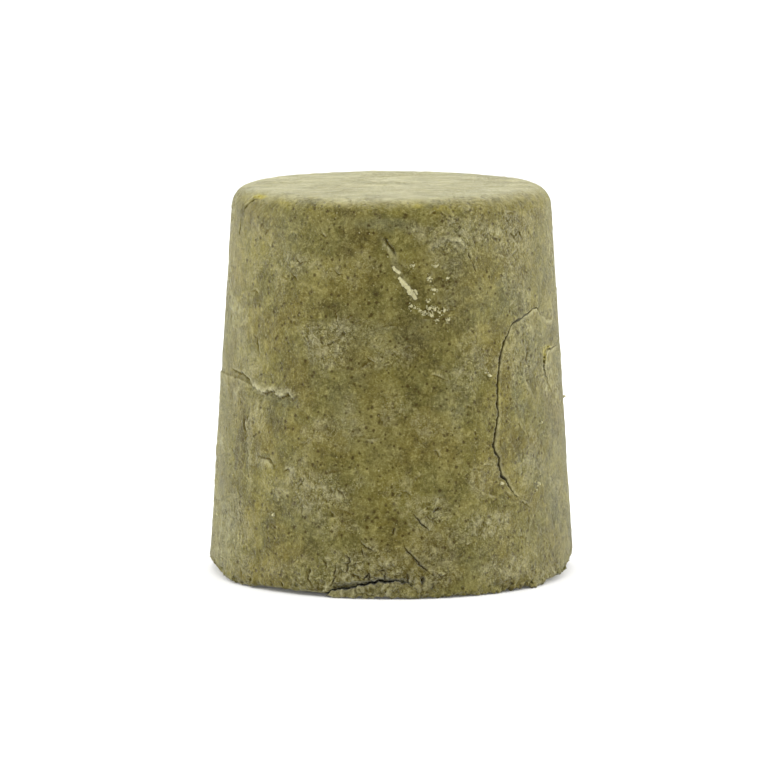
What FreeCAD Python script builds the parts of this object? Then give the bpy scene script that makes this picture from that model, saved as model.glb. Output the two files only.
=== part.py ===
"""Solid shampoo cake: paste pressed by hand into a tapered mould and turned out onto its wide end.

The cake is one moulded body of paste. What is separate on it is what has split off or been scraped off:
a flake and a chip that have lifted from the wall, a flap squeezed out at the mould's mouth, a curl
scraped up by a fingernail, and crumbs.

Millimetres, +Z up, origin at the centre of the foot. A place on the wall is (turn, height): turn is in
degrees from the front (-Y) towards the right (+X), and height is above the foot.
"""

import FreeCAD, Part
import math
import os

import Sketcher

Vector = FreeCAD.Vector
Rotation = FreeCAD.Rotation
Placement = FreeCAD.Placement

PARTS_FOLDER = "parts"

# The driving dimensions: alias, value, meaning.
DIMENSIONS = [
    ("base_radius", 22.5, "wall radius at the foot"),
    ("top_radius", 19.4, "wall radius where the wall line meets the top plane"),
    ("cake_height", 47.5, "foot to top"),
    ("shoulder_radius", 2.7, "rounding between wall and top, from the mould's corner"),
    ("foot_bevel", 0.5, "worn edge of the foot"),
    ("crack_gap", 0.2, "open width of a crack round a loose piece"),
    ("flake_turn", 49.0, "direction that the flake faces"),
    ("flake_seat", 18.3, "distance of the flake's flat seat from the axis"),
    ("chip_turn", 76.0, "direction that the edge chip faces"),
    ("chip_seat", 19.6, "distance of the chip's flat seat from the axis"),
    ("flap_root", 17.0, "distance of the flap's inner end from the axis"),
    ("scrape_radius", 0.75, "radius of the round-bottomed scrape"),
    ("scrape_depth", 0.3, "how deep the scrape goes"),
    ("curl_radius", 0.3, "radius of the rolled-up paste in the scrape"),
]

# Outlines on the wall, as (turn, height). Every outline runs anticlockwise, seen from outside, because
# an outline that is set in by a gap is extruded along its own normal.
FLAKE_OUTLINE = [
    (60.0, 33.6), (53.5, 33.0), (46.5, 32.3), (43.5, 31.2), (40.0, 29.0), (38.3, 26.5), (37.4, 24.0),
    (37.3, 21.8), (36.0, 19.3), (35.0, 17.8), (37.2, 16.0), (38.0, 14.0), (41.0, 12.7), (44.0, 11.0),
    (50.0, 10.6), (56.0, 13.6), (60.0, 18.5), (61.5, 24.0), (61.3, 28.5), (63.2, 31.4),
]
CHIP_OUTLINE = [
    (84.0, 28.8), (72.0, 28.3), (64.6, 27.6), (62.8, 26.3), (64.6, 24.4), (70.0, 22.2), (84.0, 21.4),
    (89.0, 24.6),
]
# The flap in the foot's front edge, as (x, height); it starts below the foot and is trimmed there.
FLAP_OUTLINE = [
    (3.2, -1.0), (2.5, 1.5), (1.7, 2.1), (0.2, 2.0), (-1.4, 2.1), (-2.6, 1.85), (-3.8, 1.5),
    (-5.6, 1.25), (-7.8, 0.7), (-7.9, -1.0),
]
SCRAPE = [(-2.3, 43.0), (8.6, 35.3)]

# The curl's rolls: start and end as (turn, height), and thickness against curl_radius.
CURL_ROLLS = [
    ((0.4, 39.6), (2.9, 38.8), 0.8),
    ((2.7, 38.4), (8.3, 35.7), 1.0),
    ((7.9, 36.9), (8.9, 36.3), 0.6),
]

# Crumbs stuck to the wall: turn, height, size across.
SCRAPE_CRUMBS = [
    (6.6, 34.9, 0.45), (8.0, 34.7, 0.4), (9.6, 34.4, 0.35), (11.2, 34.2, 0.5), (12.9, 34.6, 0.55),
    (13.4, 33.8, 0.5), (14.7, 34.5, 0.45), (16.2, 34.1, 0.5), (17.9, 34.3, 0.4), (15.5, 33.2, 0.4),
    (19.3, 33.2, 0.45), (12.3, 35.4, 0.35), (14.5, 36.8, 0.5), (12.8, 38.2, 0.5), (15.3, 39.6, 0.5),
    (7.5, 39.7, 0.45), (19.3, 38.1, 0.3),
]
WALL_CRUMBS = [
    (37.5, 13.2, 0.55), (54.6, 12.5, 0.6), (53.4, 11.7, 0.4), (58.2, 19.7, 0.5), (-40.0, 9.3, 0.5),
    (34.2, 26.2, 0.6), (31.5, 8.7, 0.45), (92.0, 21.2, 0.9), (-74.0, 7.6, 0.5), (-108.0, 30.5, 0.7),
    (-131.0, 14.2, 0.6), (151.0, 37.0, 0.6), (163.0, 9.4, 0.7), (118.0, 24.4, 0.5),
]
CRUMB_SINK = 0.3  # share of a crumb's size that is pressed into the wall, where the wall keeps the room

# Crumbs hanging on the foot's edge, all round. Their size swings between these two, and they sit low.
RIM_CRUMB_COUNT = 40
RIM_CRUMB_SIZES = (0.5, 0.9)
RIM_CRUMB_HEIGHTS = (0.65, 1.1)
GOLDEN_SHARE = 0.618034

doc = FreeCAD.newDocument("shampoo_cake")


# ------------------------------------------------------------------ driving dimensions

def make_sheet():
    """The spreadsheet that every size is bound to."""
    sheet = doc.addObject("Spreadsheet::Sheet", "dims")
    for row, (alias, value, meaning) in enumerate(DIMENSIONS, start=1):
        sheet.set(f"A{row}", alias)
        sheet.set(f"B{row}", str(value))
        sheet.setAlias(f"B{row}", alias)
        sheet.set(f"C{row}", meaning)
    doc.recompute()
    return sheet


dims = make_sheet()


def wall_radius(height):
    """Radius of the tapered wall at a height, before its ends are rounded."""
    return dims.base_radius - (dims.base_radius - dims.top_radius) * height / dims.cake_height


def wall_point(turn, height, outward=0.0):
    """The point on the wall at (turn, height), moved outward from the axis."""
    radius = wall_radius(height) + outward
    angle = math.radians(turn)
    return Vector(radius * math.sin(angle), -radius * math.cos(angle), height)


def facing(turn):
    """Rotation that points local Z out of the wall at that turn, with local Y up."""
    return Rotation(Vector(0, 0, 1), turn) * Rotation(Vector(1, 0, 0), 90)


# ------------------------------------------------------------------ building blocks

def outline_sketch(name, points):
    """A closed sketch of straight sides through the points."""
    sketch = doc.addObject("Sketcher::SketchObject", name)
    corners = [Vector(x, y, 0) for x, y in points]
    for start, end in zip(corners, corners[1:] + corners[:1]):
        sketch.addGeometry(Part.LineSegment(start, end))
    sides = len(corners)
    for side in range(sides):
        sketch.addConstraint(Sketcher.Constraint("Coincident", side, 2, (side + 1) % sides, 1))
    return sketch


def set_in(name, sketch, gap):
    """The sketch's outline moved in by an expression, which leaves a crack of that width."""
    inner = doc.addObject("Part::Offset2D", name)
    inner.Source = sketch
    inner.Join = "Intersection"
    inner.setExpression("Value", f"-({gap}) * 1 mm")
    return inner


def extrude(name, source, length):
    """A closed prism on a flat outline, along the outline's own normal, as long as an expression."""
    prism = doc.addObject("Part::Extrusion", name)
    prism.Base = source
    prism.DirMode = "Normal"
    prism.Solid = True
    prism.setExpression("LengthFwd", f"({length}) * 1 mm")
    return prism


def common(name, first, second):
    both = doc.addObject("Part::MultiCommon", name)
    both.Shapes = [first, second]
    return both


def cut(name, base, tool):
    left = doc.addObject("Part::Cut", name)
    left.Base = base
    left.Tool = tool
    return left


def on_wall(points, turn):
    """Places on the wall as flat (across, up) points, seen along the direction it faces at turn."""
    return [(wall_radius(z) * math.sin(math.radians(t - turn)), z) for t, z in points]


def wall_piece(name, outline, turn_alias, seat_alias):
    """A piece split off the wall: the cake's own skin over a flat seat, and the prism of its seat."""
    turn = getattr(dims, turn_alias)
    sketch = outline_sketch(f"{name}_outline", on_wall(outline, turn))
    sketch.Placement = Placement(Vector(0, 0, 0), facing(turn))
    sketch.setExpression("Placement.Base.x", f"dims.{seat_alias} * sin(dims.{turn_alias} * 1 deg) * 1 mm")
    sketch.setExpression("Placement.Base.y", f"-dims.{seat_alias} * cos(dims.{turn_alias} * 1 deg) * 1 mm")
    reach = f"1.3 * dims.base_radius - dims.{seat_alias}"
    seat = extrude(f"{name}_seat", sketch, reach)
    inner = set_in(f"{name}_inner", sketch, "dims.crack_gap")
    blank = extrude(f"{name}_blank", inner, reach)
    return common(name, moulded_form(f"{name}_skin"), blank), seat


# ------------------------------------------------------------------ moulded form

def moulded_form(name):
    """The whole cake as the mould leaves it: a revolved half outline, rounded at the shoulder."""
    body = doc.addObject("PartDesign::Body", name)
    planes = {plane.Role: plane for plane in body.Origin.OriginFeatures}
    sketch = body.newObject("Sketcher::SketchObject", f"{name}_outline")
    sketch.AttachmentSupport = (planes["XZ_Plane"], [""])
    sketch.MapMode = "FlatFace"
    corners = [(0, 0), (dims.base_radius, 0), (dims.top_radius, dims.cake_height), (0, dims.cake_height)]
    corners = [Vector(x, y, 0) for x, y in corners]
    foot, wall, top, axis = range(4)
    for start, end in zip(corners, corners[1:] + corners[:1]):
        sketch.addGeometry(Part.LineSegment(start, end))
    for side in (foot, wall, top, axis):
        sketch.addConstraint(Sketcher.Constraint("Coincident", side, 2, (side + 1) % 4, 1))
    sketch.addConstraint(Sketcher.Constraint("Coincident", foot, 1, -1, 1))
    sketch.addConstraint(Sketcher.Constraint("Horizontal", foot))
    sketch.addConstraint(Sketcher.Constraint("Horizontal", top))
    sketch.addConstraint(Sketcher.Constraint("Vertical", axis))
    sizes = [
        ("base_radius", Sketcher.Constraint("DistanceX", foot, 1, foot, 2, dims.base_radius)),
        ("top_radius", Sketcher.Constraint("DistanceX", top, 2, top, 1, dims.top_radius)),
        ("cake_height", Sketcher.Constraint("DistanceY", axis, 2, axis, 1, dims.cake_height)),
    ]
    for alias, constraint in sizes:
        index = sketch.addConstraint(constraint)
        sketch.renameConstraint(index, alias)
        sketch.setExpression(f"Constraints.{alias}", f"dims.{alias}")
    turned = body.newObject("PartDesign::Revolution", f"{name}_turned")
    turned.Profile = sketch
    turned.ReferenceAxis = (sketch, ["V_Axis"])
    turned.Angle = 360
    doc.recompute()
    shoulder = body.newObject("PartDesign::Fillet", f"{name}_shoulder")
    shoulder.Base = (turned, [edge_at_height(turned.Shape, dims.cake_height)])
    shoulder.setExpression("Radius", "dims.shoulder_radius")
    doc.recompute()
    foot_edge = body.newObject("PartDesign::Chamfer", f"{name}_foot")
    foot_edge.Base = (shoulder, [edge_at_height(shoulder.Shape, 0)])
    foot_edge.setExpression("Size", "dims.foot_bevel")
    body.Tip = foot_edge
    doc.recompute()
    return body


def edge_at_height(shape, height):
    """Name of the round edge that lies at that height."""
    for number, edge in enumerate(shape.Edges, start=1):
        box = edge.BoundBox
        if box.XLength > 1 and abs(box.ZMin - height) < 1e-6 and abs(box.ZMax - height) < 1e-6:
            return f"Edge{number}"
    raise ValueError(f"no round edge at height {height}")


# ------------------------------------------------------------------ pieces

def make_flap():
    """The flap at the foot's front edge and the prism of the room it lies in."""
    sketch = outline_sketch("flap_outline", FLAP_OUTLINE)
    sketch.Placement = Placement(Vector(0, 0, 0), facing(0))
    sketch.setExpression("Placement.Base.y", "-dims.flap_root * 1 mm")
    reach = "1.3 * dims.base_radius - dims.flap_root"
    room = extrude("flap_room", sketch, reach)
    inner = set_in("flap_inner", sketch, "dims.crack_gap")
    blank = extrude("flap_blank", inner, reach)
    return common("base_flap", moulded_form("flap_skin"), blank), room


def rod_between(name, start, end, radius):
    """A cylinder from one point to the other, with its radius bound to an expression."""
    rod = doc.addObject("Part::Cylinder", name)
    along = end - start
    rod.setExpression("Radius", f"({radius}) * 1 mm")
    rod.Height = along.Length
    rod.Placement = Placement(start, Rotation(Vector(0, 0, 1), along))
    return rod


def make_scrape():
    """The round-bottomed groove that a fingernail left, as a cutting tool."""
    outward = dims.scrape_radius - dims.scrape_depth
    start, end = (wall_point(turn, height, outward) for turn, height in SCRAPE)
    return rod_between("scrape_tool", start, end, "dims.scrape_radius")


def make_curl(body):
    """The paste rolled up by the scrape, as rolls that lie in the groove."""
    rolls = []
    for number, (start, end, share) in enumerate(CURL_ROLLS, start=1):
        lift = dims.curl_radius * share * 0.6 - dims.scrape_depth * 0.5
        ends = [wall_point(turn, height, lift) for turn, height in (start, end)]
        roll = rod_between(f"curl_roll_{number}", ends[0], ends[1], f"dims.curl_radius * {share}")
        rolls.append(cut(f"curl_piece_{number}", roll, body))
    return group("scraped_curl", rolls)


def crumb(name, centre, size, spin):
    """An angular crumb: a little block, turned so that it meets the wall by a corner or an edge."""
    block = doc.addObject("Part::Box", name)
    block.Length = size
    block.Width = size * 0.75
    block.Height = size * 0.65
    turned = Rotation(Vector(1, 2, 3), spin)
    middle = Vector(size / 2, size * 0.375, size * 0.325)
    block.Placement = Placement(centre - turned.multVec(middle), turned)
    return block


def wall_crumbs(name, places, body):
    """Crumbs that sit on the wall, each trimmed where the wall is."""
    pieces = []
    for number, (turn, height, size) in enumerate(places, start=1):
        centre = wall_point(turn, height, size * (0.5 - CRUMB_SINK))
        block = crumb(f"{name}_block_{number}", centre, size, 47.0 * number)
        pieces.append(cut(f"{name}_piece_{number}", block, body))
    return group(name, pieces)


def swing(limits, number):
    """A value between the two limits that looks uneven from one number to the next."""
    low, high = limits
    return low + (high - low) * ((number * GOLDEN_SHARE) % 1.0)


def rim_crumbs(body):
    """Crumbs that hang on the foot's edge all round, except where the flap is."""
    pieces = []
    for number in range(RIM_CRUMB_COUNT):
        turn = 360.0 * (number + 0.5) / RIM_CRUMB_COUNT - 180.0
        if -24.0 < turn < 12.0:
            continue
        size = swing(RIM_CRUMB_SIZES, number)
        height = swing(RIM_CRUMB_HEIGHTS, 3 * number)
        centre = wall_point(turn, height, -0.2 * size)
        block = crumb(f"rim_block_{number}", centre, size, 61.0 * number)
        pieces.append(cut(f"rim_piece_{number}", block, body))
    return group("rim_crumbs", pieces)


def group(name, pieces):
    """Several separate solids of one kind, as one sub-part."""
    together = doc.addObject("Part::Compound", name)
    together.Links = pieces
    return together


def make_parts():
    """Every sub-part, in the order that it comes off the cake."""
    flake, flake_seat = wall_piece("side_flake", FLAKE_OUTLINE, "flake_turn", "flake_seat")
    chip, chip_seat = wall_piece("edge_chip", CHIP_OUTLINE, "chip_turn", "chip_seat")
    flap, flap_room = make_flap()
    whole = moulded_form("moulded_cake")
    body = cut("body_without_flake", whole, flake_seat)
    body = cut("body_without_chip", body, chip_seat)
    body = cut("body_without_flap", body, flap_room)
    body = cut("cake_body", body, make_scrape())
    curl = make_curl(body)
    scraped = wall_crumbs("scrape_crumbs", SCRAPE_CRUMBS, whole)
    strays = wall_crumbs("wall_crumbs", WALL_CRUMBS, whole)
    rim = rim_crumbs(whole)
    return [body, flake, chip, flap, curl, scraped, strays, rim]


# ------------------------------------------------------------------ checks and export

def check_document():
    for thing in doc.Objects:
        if {"Invalid", "Error"} & set(thing.State):
            raise ValueError(f"{thing.Label} failed: {thing.State}")


def check_part(part):
    shape = part.Shape
    if shape.isNull() or not shape.isValid() or not shape.Solids:
        raise ValueError(f"{part.Label} has no valid solid")


def main():
    parts = make_parts()
    doc.recompute()
    check_document()
    os.makedirs(PARTS_FOLDER, exist_ok=True)
    for part in parts:
        check_part(part)
        part.Shape.exportStep(os.path.join(PARTS_FOLDER, f"{part.Label}.step"))
        print(f"{part.Label}: {len(part.Shape.Solids)} solids, {part.Shape.Volume:.2f} mm3")


main()
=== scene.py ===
import itertools
import math
import random
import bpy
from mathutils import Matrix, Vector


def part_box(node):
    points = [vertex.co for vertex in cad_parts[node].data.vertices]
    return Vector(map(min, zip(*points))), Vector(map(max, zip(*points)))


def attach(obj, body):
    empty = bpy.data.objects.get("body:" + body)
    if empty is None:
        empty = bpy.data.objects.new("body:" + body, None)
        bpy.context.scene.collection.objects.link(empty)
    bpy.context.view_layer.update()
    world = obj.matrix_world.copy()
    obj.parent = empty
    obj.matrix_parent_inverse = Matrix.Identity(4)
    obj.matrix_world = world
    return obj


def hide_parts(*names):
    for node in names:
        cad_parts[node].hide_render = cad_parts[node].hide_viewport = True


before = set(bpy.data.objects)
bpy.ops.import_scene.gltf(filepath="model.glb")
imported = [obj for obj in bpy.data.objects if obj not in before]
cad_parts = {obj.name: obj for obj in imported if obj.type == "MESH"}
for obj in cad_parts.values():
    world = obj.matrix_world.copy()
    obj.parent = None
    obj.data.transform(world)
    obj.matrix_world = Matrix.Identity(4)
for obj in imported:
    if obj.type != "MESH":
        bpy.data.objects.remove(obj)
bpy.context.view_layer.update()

from types import SimpleNamespace

import bmesh
import bpy
import numpy as np
from mathutils import Matrix, Vector, geometry, kdtree, noise

# The looks of a solid shampoo cake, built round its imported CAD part.
#
# The cake's skin is a surface of revolution with folds, pits, cracks and torn ledges in it, and the pieces
# that have split off it are closed slabs with the same skin. The modelling code works in millimetres and
# makes its objects in metres. A place on the skin is (turn, rise): turn is in degrees from the front (-Y)
# towards the right (+X), and rise is in millimetres along the outline, which on the wall is the height.
# A place's turn and rise, in millimetres along a circle of FLAT_RADIUS and along the outline, are its flat
# point: lines on the skin are drawn and measured there.

MM = 0.001
BODY = "root"

# The part's driving dimensions, in millimetres. The height comes from the frame.
HEIGHT = (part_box("cake_body")[1].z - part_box("cake_body")[0].z) / MM
FOOT_RADIUS = 22.5
TOP_RADIUS = 19.4
SHOULDER_RADIUS = 2.7
FOOT_ROUND = 0.45
FLAKE_TURN, FLAKE_SEAT = 49.0, 18.3
CHIP_TURN, CHIP_SEAT = 76.0, 19.6
FLAP_SEAT = 20.6
SEAT_CLEARANCE = 0.03
RIM_OVERLAP = 0.1  # how far a piece that is still pressed tight reaches over its seat's edge
LINING_DEPTH = 0.22  # a split piece's rim is painted dark, as shade, from this far below its face
FLOOR_CLEARANCE = 0.005

# Spacing of the skin's points, in millimetres.
FRONT_STEP = 0.33
BACK_STEP = 0.6
ROW_STEP = 0.31
FOOT_STEP = 1.0
FRONT_HALF = 95.0  # degrees of turn either way that get the finer spacing
ROUGH_LIMIT = 0.7  # rougher patches than this have their edges halved
TRACE_STEP = 0.08
FLAT_RADIUS = 21.0  # turns are laid flat at this radius
FOOT_ROWS, SHOULDER_ROWS = 20, 60  # points of the outline's two round corners
CURL_SIDES = 32

# Seeds and numbers of what is scattered at random.
NICK_SEED, NICK_COUNT = 9, 190
PIT_SEED, PIT_COUNT = 5, 330
GRAIN_SQUASH = 0.8  # grains are flattened at least this much

# The camera, which looks at the cake's middle from the front: metres, degrees, and millimetres for the aim.
CAMERA_DISTANCE = 0.6
CAMERA_ELEVATION = 7.75
CAMERA_LENS, CAMERA_SENSOR = 228.8, 36.0
CAMERA_AIM = (-0.915, 0, -0.91)
FLOOR_REACH = 4.0
SKY_STRENGTH = 0.65

# ---------------------------------------------------------------- places, listed

# Outlines of the split pieces, anticlockwise: turn, rise, and the open width of the crack there.
FLAKE = [
    (60, 33.5, 0.1), (57, 33.5, 0.14), (53.5, 33.0, 0.18), (50, 32.6, 0.2), (47, 32.3, 0.22),
    (45, 32.0, 0.22), (43.5, 31.2, 0.24), (41.5, 30.2, 0.26), (40, 29, 0.26), (39, 28, 0.28),
    (38.3, 26.5, 0.3), (37.5, 25, 0.33), (37.3, 23.5, 0.35), (37, 22.5, 0.32), (37.5, 21.8, 0.25),
    (36.5, 20.3, 0.28), (36, 19.3, 0.28), (35.2, 18.3, 0.3), (35, 17.8, 0.28), (35.5, 17, 0.28),
    (37.2, 16.2, 0.28), (37, 15.4, 0.28), (38, 14, 0.28), (39.5, 13.6, 0.24), (41, 12.6, 0.2),
    (42.6, 11.7, 0.07), (46, 10.9, 0.01), (50, 10.6, 0.01), (56, 13.6, 0.01), (60, 18.5, 0.01),
    (61.5, 24, 0.01), (61.3, 28.5, 0.01), (63, 31.4, 0.02), (62, 32.6, 0.06),
]
CHIP = [
    (84, 28.8, 0.01), (75, 28.3, 0.04), (70, 28.2, 0.13), (66, 28.2, 0.2), (64, 27.6, 0.22),
    (62.5, 26, 0.2), (64, 25.2, 0.08), (65, 24.5, 0.02), (69, 22.5, 0.01), (74, 21.7, 0.01),
    (84, 21.6, 0.01), (88.5, 24.6, 0.01),
]
FLAP = [
    (8.3, -0.25, 0.01), (7.6, 1.0, 0.01), (5.2, 1.7, 0.01), (2.5, 1.95, 0.05), (1.0, 2.1, 0.12),
    (-1.5, 1.95, 0.2), (-4.0, 2.15, 0.26), (-6.0, 1.75, 0.24), (-8.5, 1.6, 0.18), (-10.5, 1.45, 0.15),
    (-15.0, 1.15, 0.14), (-18.6, 0.8, 0.1), (-20.3, 0.4, 0.08), (-20.9, -0.25, 0.06),
]


# ---------------------------------------------------------------- noise and ramps

NOISE_PRIMES = (73856093, 19349663, 83492791)
NOISE_STIR = 0x2C1B3C6D
LOW_BITS = 0xFFFFFFFF
NOISE_SHIFT = np.array([37.7, 17.3, 29.1])


def smooth_noise(points, size, seed=0):
    """Smooth noise, about -1 to 1, whose bumps are about that size. Points are rows of three numbers."""
    scaled = points / size + NOISE_SHIFT * (seed + 1)
    cell = np.floor(scaled).astype(np.int64)
    part = scaled - cell
    fade = part ** 3 * (part * (part * 6 - 15) + 10)
    total = np.zeros(len(points))
    for corner in itertools.product((0, 1), repeat=3):
        x, y, z = (cell + corner).T
        code = (x * NOISE_PRIMES[0] ^ y * NOISE_PRIMES[1] ^ z * NOISE_PRIMES[2]) & LOW_BITS
        code = (code ^ (code >> 15)) * NOISE_STIR & LOW_BITS
        code = code ^ (code >> 12)
        slopes = np.stack([(code >> shift & 255) / 127.5 - 1 for shift in (0, 8, 16)], axis=1)
        share = np.where(corner, fade, 1 - fade).prod(axis=1)
        total += share * (slopes * (part - corner)).sum(axis=1)
    return 1.6 * total


def layered_noise(points, size, layers, seed=0):
    """Smooth noise with finer and weaker noise on top."""
    return sum(smooth_noise(points, size / 2 ** k, seed + 7 * k) / 2 ** k for k in range(layers))


def wander_along(arc, size, seed):
    """Smooth noise along a line."""
    steady = np.full_like(arc, 0.37)
    return smooth_noise(np.column_stack((arc, steady, steady)), size, seed)


def ramp(value, start, end):
    """0 at start, 1 at end, and smooth between."""
    share = np.clip((value - start) / (end - start), 0, 1)
    return share * share * (3 - 2 * share)


# ---------------------------------------------------------------- the skin

def make_outline():
    """The cake's half outline, from the foot's centre to the top's: rise, radius, height and normal."""
    taper = math.atan2(FOOT_RADIUS - TOP_RADIUS, HEIGHT)

    def corner_centre(radius, height):
        return FOOT_RADIUS - (radius + height * math.sin(taper)) / math.cos(taper)

    foot_centre = corner_centre(FOOT_ROUND, FOOT_ROUND)
    top_centre = corner_centre(SHOULDER_RADIUS, HEIGHT - SHOULDER_RADIUS)
    rows = [(0, 0, -math.pi / 2)]
    for angle in np.linspace(-math.pi / 2, taper, FOOT_ROWS):
        rows.append((foot_centre + FOOT_ROUND * math.cos(angle), FOOT_ROUND * (1 + math.sin(angle)), angle))
    for angle in np.linspace(taper, math.pi / 2, SHOULDER_ROWS):
        radius = top_centre + SHOULDER_RADIUS * math.cos(angle)
        rows.append((radius, HEIGHT - SHOULDER_RADIUS * (1 - math.sin(angle)), angle))
    rows.append((0, HEIGHT, math.pi / 2))
    radius, height, angle = np.array(rows).T
    steps = np.hypot(np.diff(radius), np.diff(height))
    rise = np.concatenate(([0], np.cumsum(steps)))
    middle = np.interp(HEIGHT / 2, height[1:-1], rise[1:-1])
    rise += HEIGHT / 2 - middle
    return rise, radius, height, np.cos(angle), np.sin(angle)


OUTLINE = make_outline()
FOOT_CENTRE_RISE = OUTLINE[0][0]
FOOT_EDGE_RISE = OUTLINE[0][1]
TOP_EDGE_RISE = OUTLINE[0][-2]
TOP_CENTRE_RISE = OUTLINE[0][-1]


def lay_flat(turn, rise):
    """The flat points of places on the skin."""
    return np.column_stack((np.radians(turn) * FLAT_RADIUS, rise))


def make_tree(points):
    """A search tree of flat points."""
    tree = kdtree.KDTree(len(points))
    for number, (x, y) in enumerate(points):
        tree.insert((x, y, 0), number)
    tree.balance()
    return tree


# How pale (fresh paste, and a painted highlight on raised lips, rims, grain, lumps and the top), dark
# (painted shade in cracks, pits, creases, crevices, seats, under ledges and on split pieces' hidden faces),
# grey (dusty bloom, and painted shadow under ledges and the flap's lip), yellow, brown, rough, and gold (a
# fresh bright edge) the skin is.
TINTS = ("pale", "dark", "grey", "yellow", "brown", "rough", "gold")
EVERYWHERE = slice(None)


class Skin:
    """Points of the cake's skin: where each lies on the smooth form, how far it stands out, and its tints."""

    def __init__(self, turn, rise):
        rises, radius, height, normal_out, normal_up = OUTLINE
        self.turn = np.asarray(turn, float)
        self.rise = np.asarray(rise, float)
        self.radius = np.interp(self.rise, rises, radius)
        across, back = np.sin(np.radians(self.turn)), -np.cos(np.radians(self.turn))
        out = np.interp(self.rise, rises, normal_out)
        up = np.interp(self.rise, rises, normal_up)
        level = np.interp(self.rise, rises, height)
        self.smooth = np.column_stack((self.radius * across, self.radius * back, level))
        self.normal = np.column_stack((out * across, out * back, up))
        self.normal /= np.linalg.norm(self.normal, axis=1)[:, None]
        self.flat = lay_flat(self.turn, self.rise)
        self.lift = np.zeros(len(self.turn))
        self.tints = {name: np.zeros(len(self.turn)) for name in TINTS}

    def tint(self, name, at, amount):
        """Raises a tint to the amount, where it is lower, at those rows."""
        self.tints[name][at] = np.maximum(self.tints[name][at], amount)

    def points(self):
        return self.smooth + self.normal * self.lift[:, None]


def at_radius(points, radius):
    """The points moved level, to a distance from the axis."""
    share = radius / np.maximum(np.hypot(points[:, 0], points[:, 1]), 1e-6)
    return np.column_stack((points[:, 0] * share, points[:, 1] * share, points[:, 2]))


class Trace:
    """An uneven line on the skin through given places, as close-set flat points."""

    def __init__(self, places, seed, wander=0.06, closed=False):
        places = np.array(places, float)
        if closed:
            places = np.vstack((places, places[:1]))
        flat = lay_flat(places[:, 0], places[:, 1])
        along = np.concatenate(([0], np.cumsum(np.linalg.norm(np.diff(flat, axis=0), axis=1))))
        self.arc = np.linspace(0, along[-1], max(4, int(along[-1] / TRACE_STEP)), endpoint=not closed)
        self.length = along[-1]
        points = np.column_stack([np.interp(self.arc, along, column) for column in flat.T])
        if closed:
            ahead = np.roll(points, -1, axis=0) - np.roll(points, 1, axis=0)
        else:
            ahead = np.gradient(points, axis=0)
        ahead /= np.maximum(np.linalg.norm(ahead, axis=1), 1e-6)[:, None]
        self.left = np.column_stack((-ahead[:, 1], ahead[:, 0]))
        sway = 0.8 * wander_along(self.arc, 0.9, seed) + wander_along(self.arc, 0.34, seed + 1)
        if closed:
            sway *= ramp(np.minimum(self.arc, self.length - self.arc), 0, 1)
        self.points = points + self.left * (wander * sway)[:, None]
        self.share = self.arc / self.length
        if places.shape[1] > 2:
            uneven = 0.88 + 0.45 * wander_along(self.arc, 0.8, seed + 2)
            self.gap = np.interp(self.arc, along, places[:, 2]) * uneven
        self.tree = make_tree(self.points)

    def ends(self, start, full):
        """0 up to start, in mm from either end of the line, and 1 from full on, for each of its points."""
        return ramp(np.minimum(self.share, 1 - self.share) * self.length, start, full)

    def near(self, flat, reach):
        """The rows of flat within reach, their distance, how far to the line's left, and the line's row."""
        low, high = self.points.min(axis=0) - reach, self.points.max(axis=0) + reach
        rows = np.nonzero(((flat > low) & (flat < high)).all(axis=1))[0]
        found = [self.tree.find((x, y, 0))[1:] for x, y in flat[rows]]
        spot = np.array([number for number, _ in found], int)
        away = np.array([distance for _, distance in found])
        left = ((flat[rows] - self.points[spot]) * self.left[spot]).sum(axis=1) if len(rows) else away
        close = away < reach
        return rows[close], away[close], left[close], spot[close]

    def inside(self, flat):
        """Which flat points a closed line goes round."""
        result = np.zeros(len(flat), bool)
        low, high = self.points.min(axis=0), self.points.max(axis=0)
        rows = np.nonzero(((flat > low) & (flat < high)).all(axis=1))[0]
        x, y = flat[rows].T
        within = np.zeros(len(rows), bool)
        for (x0, y0), (x1, y1) in zip(self.points, np.roll(self.points, -1, axis=0)):
            if y0 != y1:
                within ^= ((y0 > y) != (y1 > y)) & (x < x0 + (y - y0) * (x1 - x0) / (y1 - y0))
        result[rows] = within
        return result


# ---------------------------------------------------------------- marks on the skin

def crack(places, width, depth, seed, dark=0.9, wander=0.09, lip=0.05):
    """An open split that narrows towards its ends, has worn edges, and has a raised lip on its left; it is
    painted dark inside as shade, and the lip is painted pale as a highlight.
    """
    line = Trace(places, seed, wander)

    def apply(skin):
        at, away, left, spot = line.near(skin.flat, width / 2 + 0.6)
        ends = line.ends(-0.1, min(1.2, line.length / 2))[spot]
        uneven = 1 + 0.6 * wander_along(line.arc, 0.7, seed + 2)[spot]
        uneven += 0.5 * wander_along(line.arc, 0.25, seed)[spot]
        half = np.maximum(0.5 * width * ends * uneven, 0.02)
        within = 1 - ramp(away, half * 0.5, half + 0.07)
        beside = ends * ramp(left, half, half + 0.06) * (1 - ramp(left, half + 0.08, half + 0.4))
        skin.lift[at] -= depth * ends * within + 0.03 * ends * (1 - ramp(away, half, half + 0.5))
        skin.lift[at] += lip * beside
        # Painted shade inside the split, and a painted highlight on the lip.
        skin.tint("dark", at, dark * ramp(within, 0.0, 0.8))
        skin.tint("pale", at, np.clip(9 * lip, 0, 0.6) * beside)

    return line, apply


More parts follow.
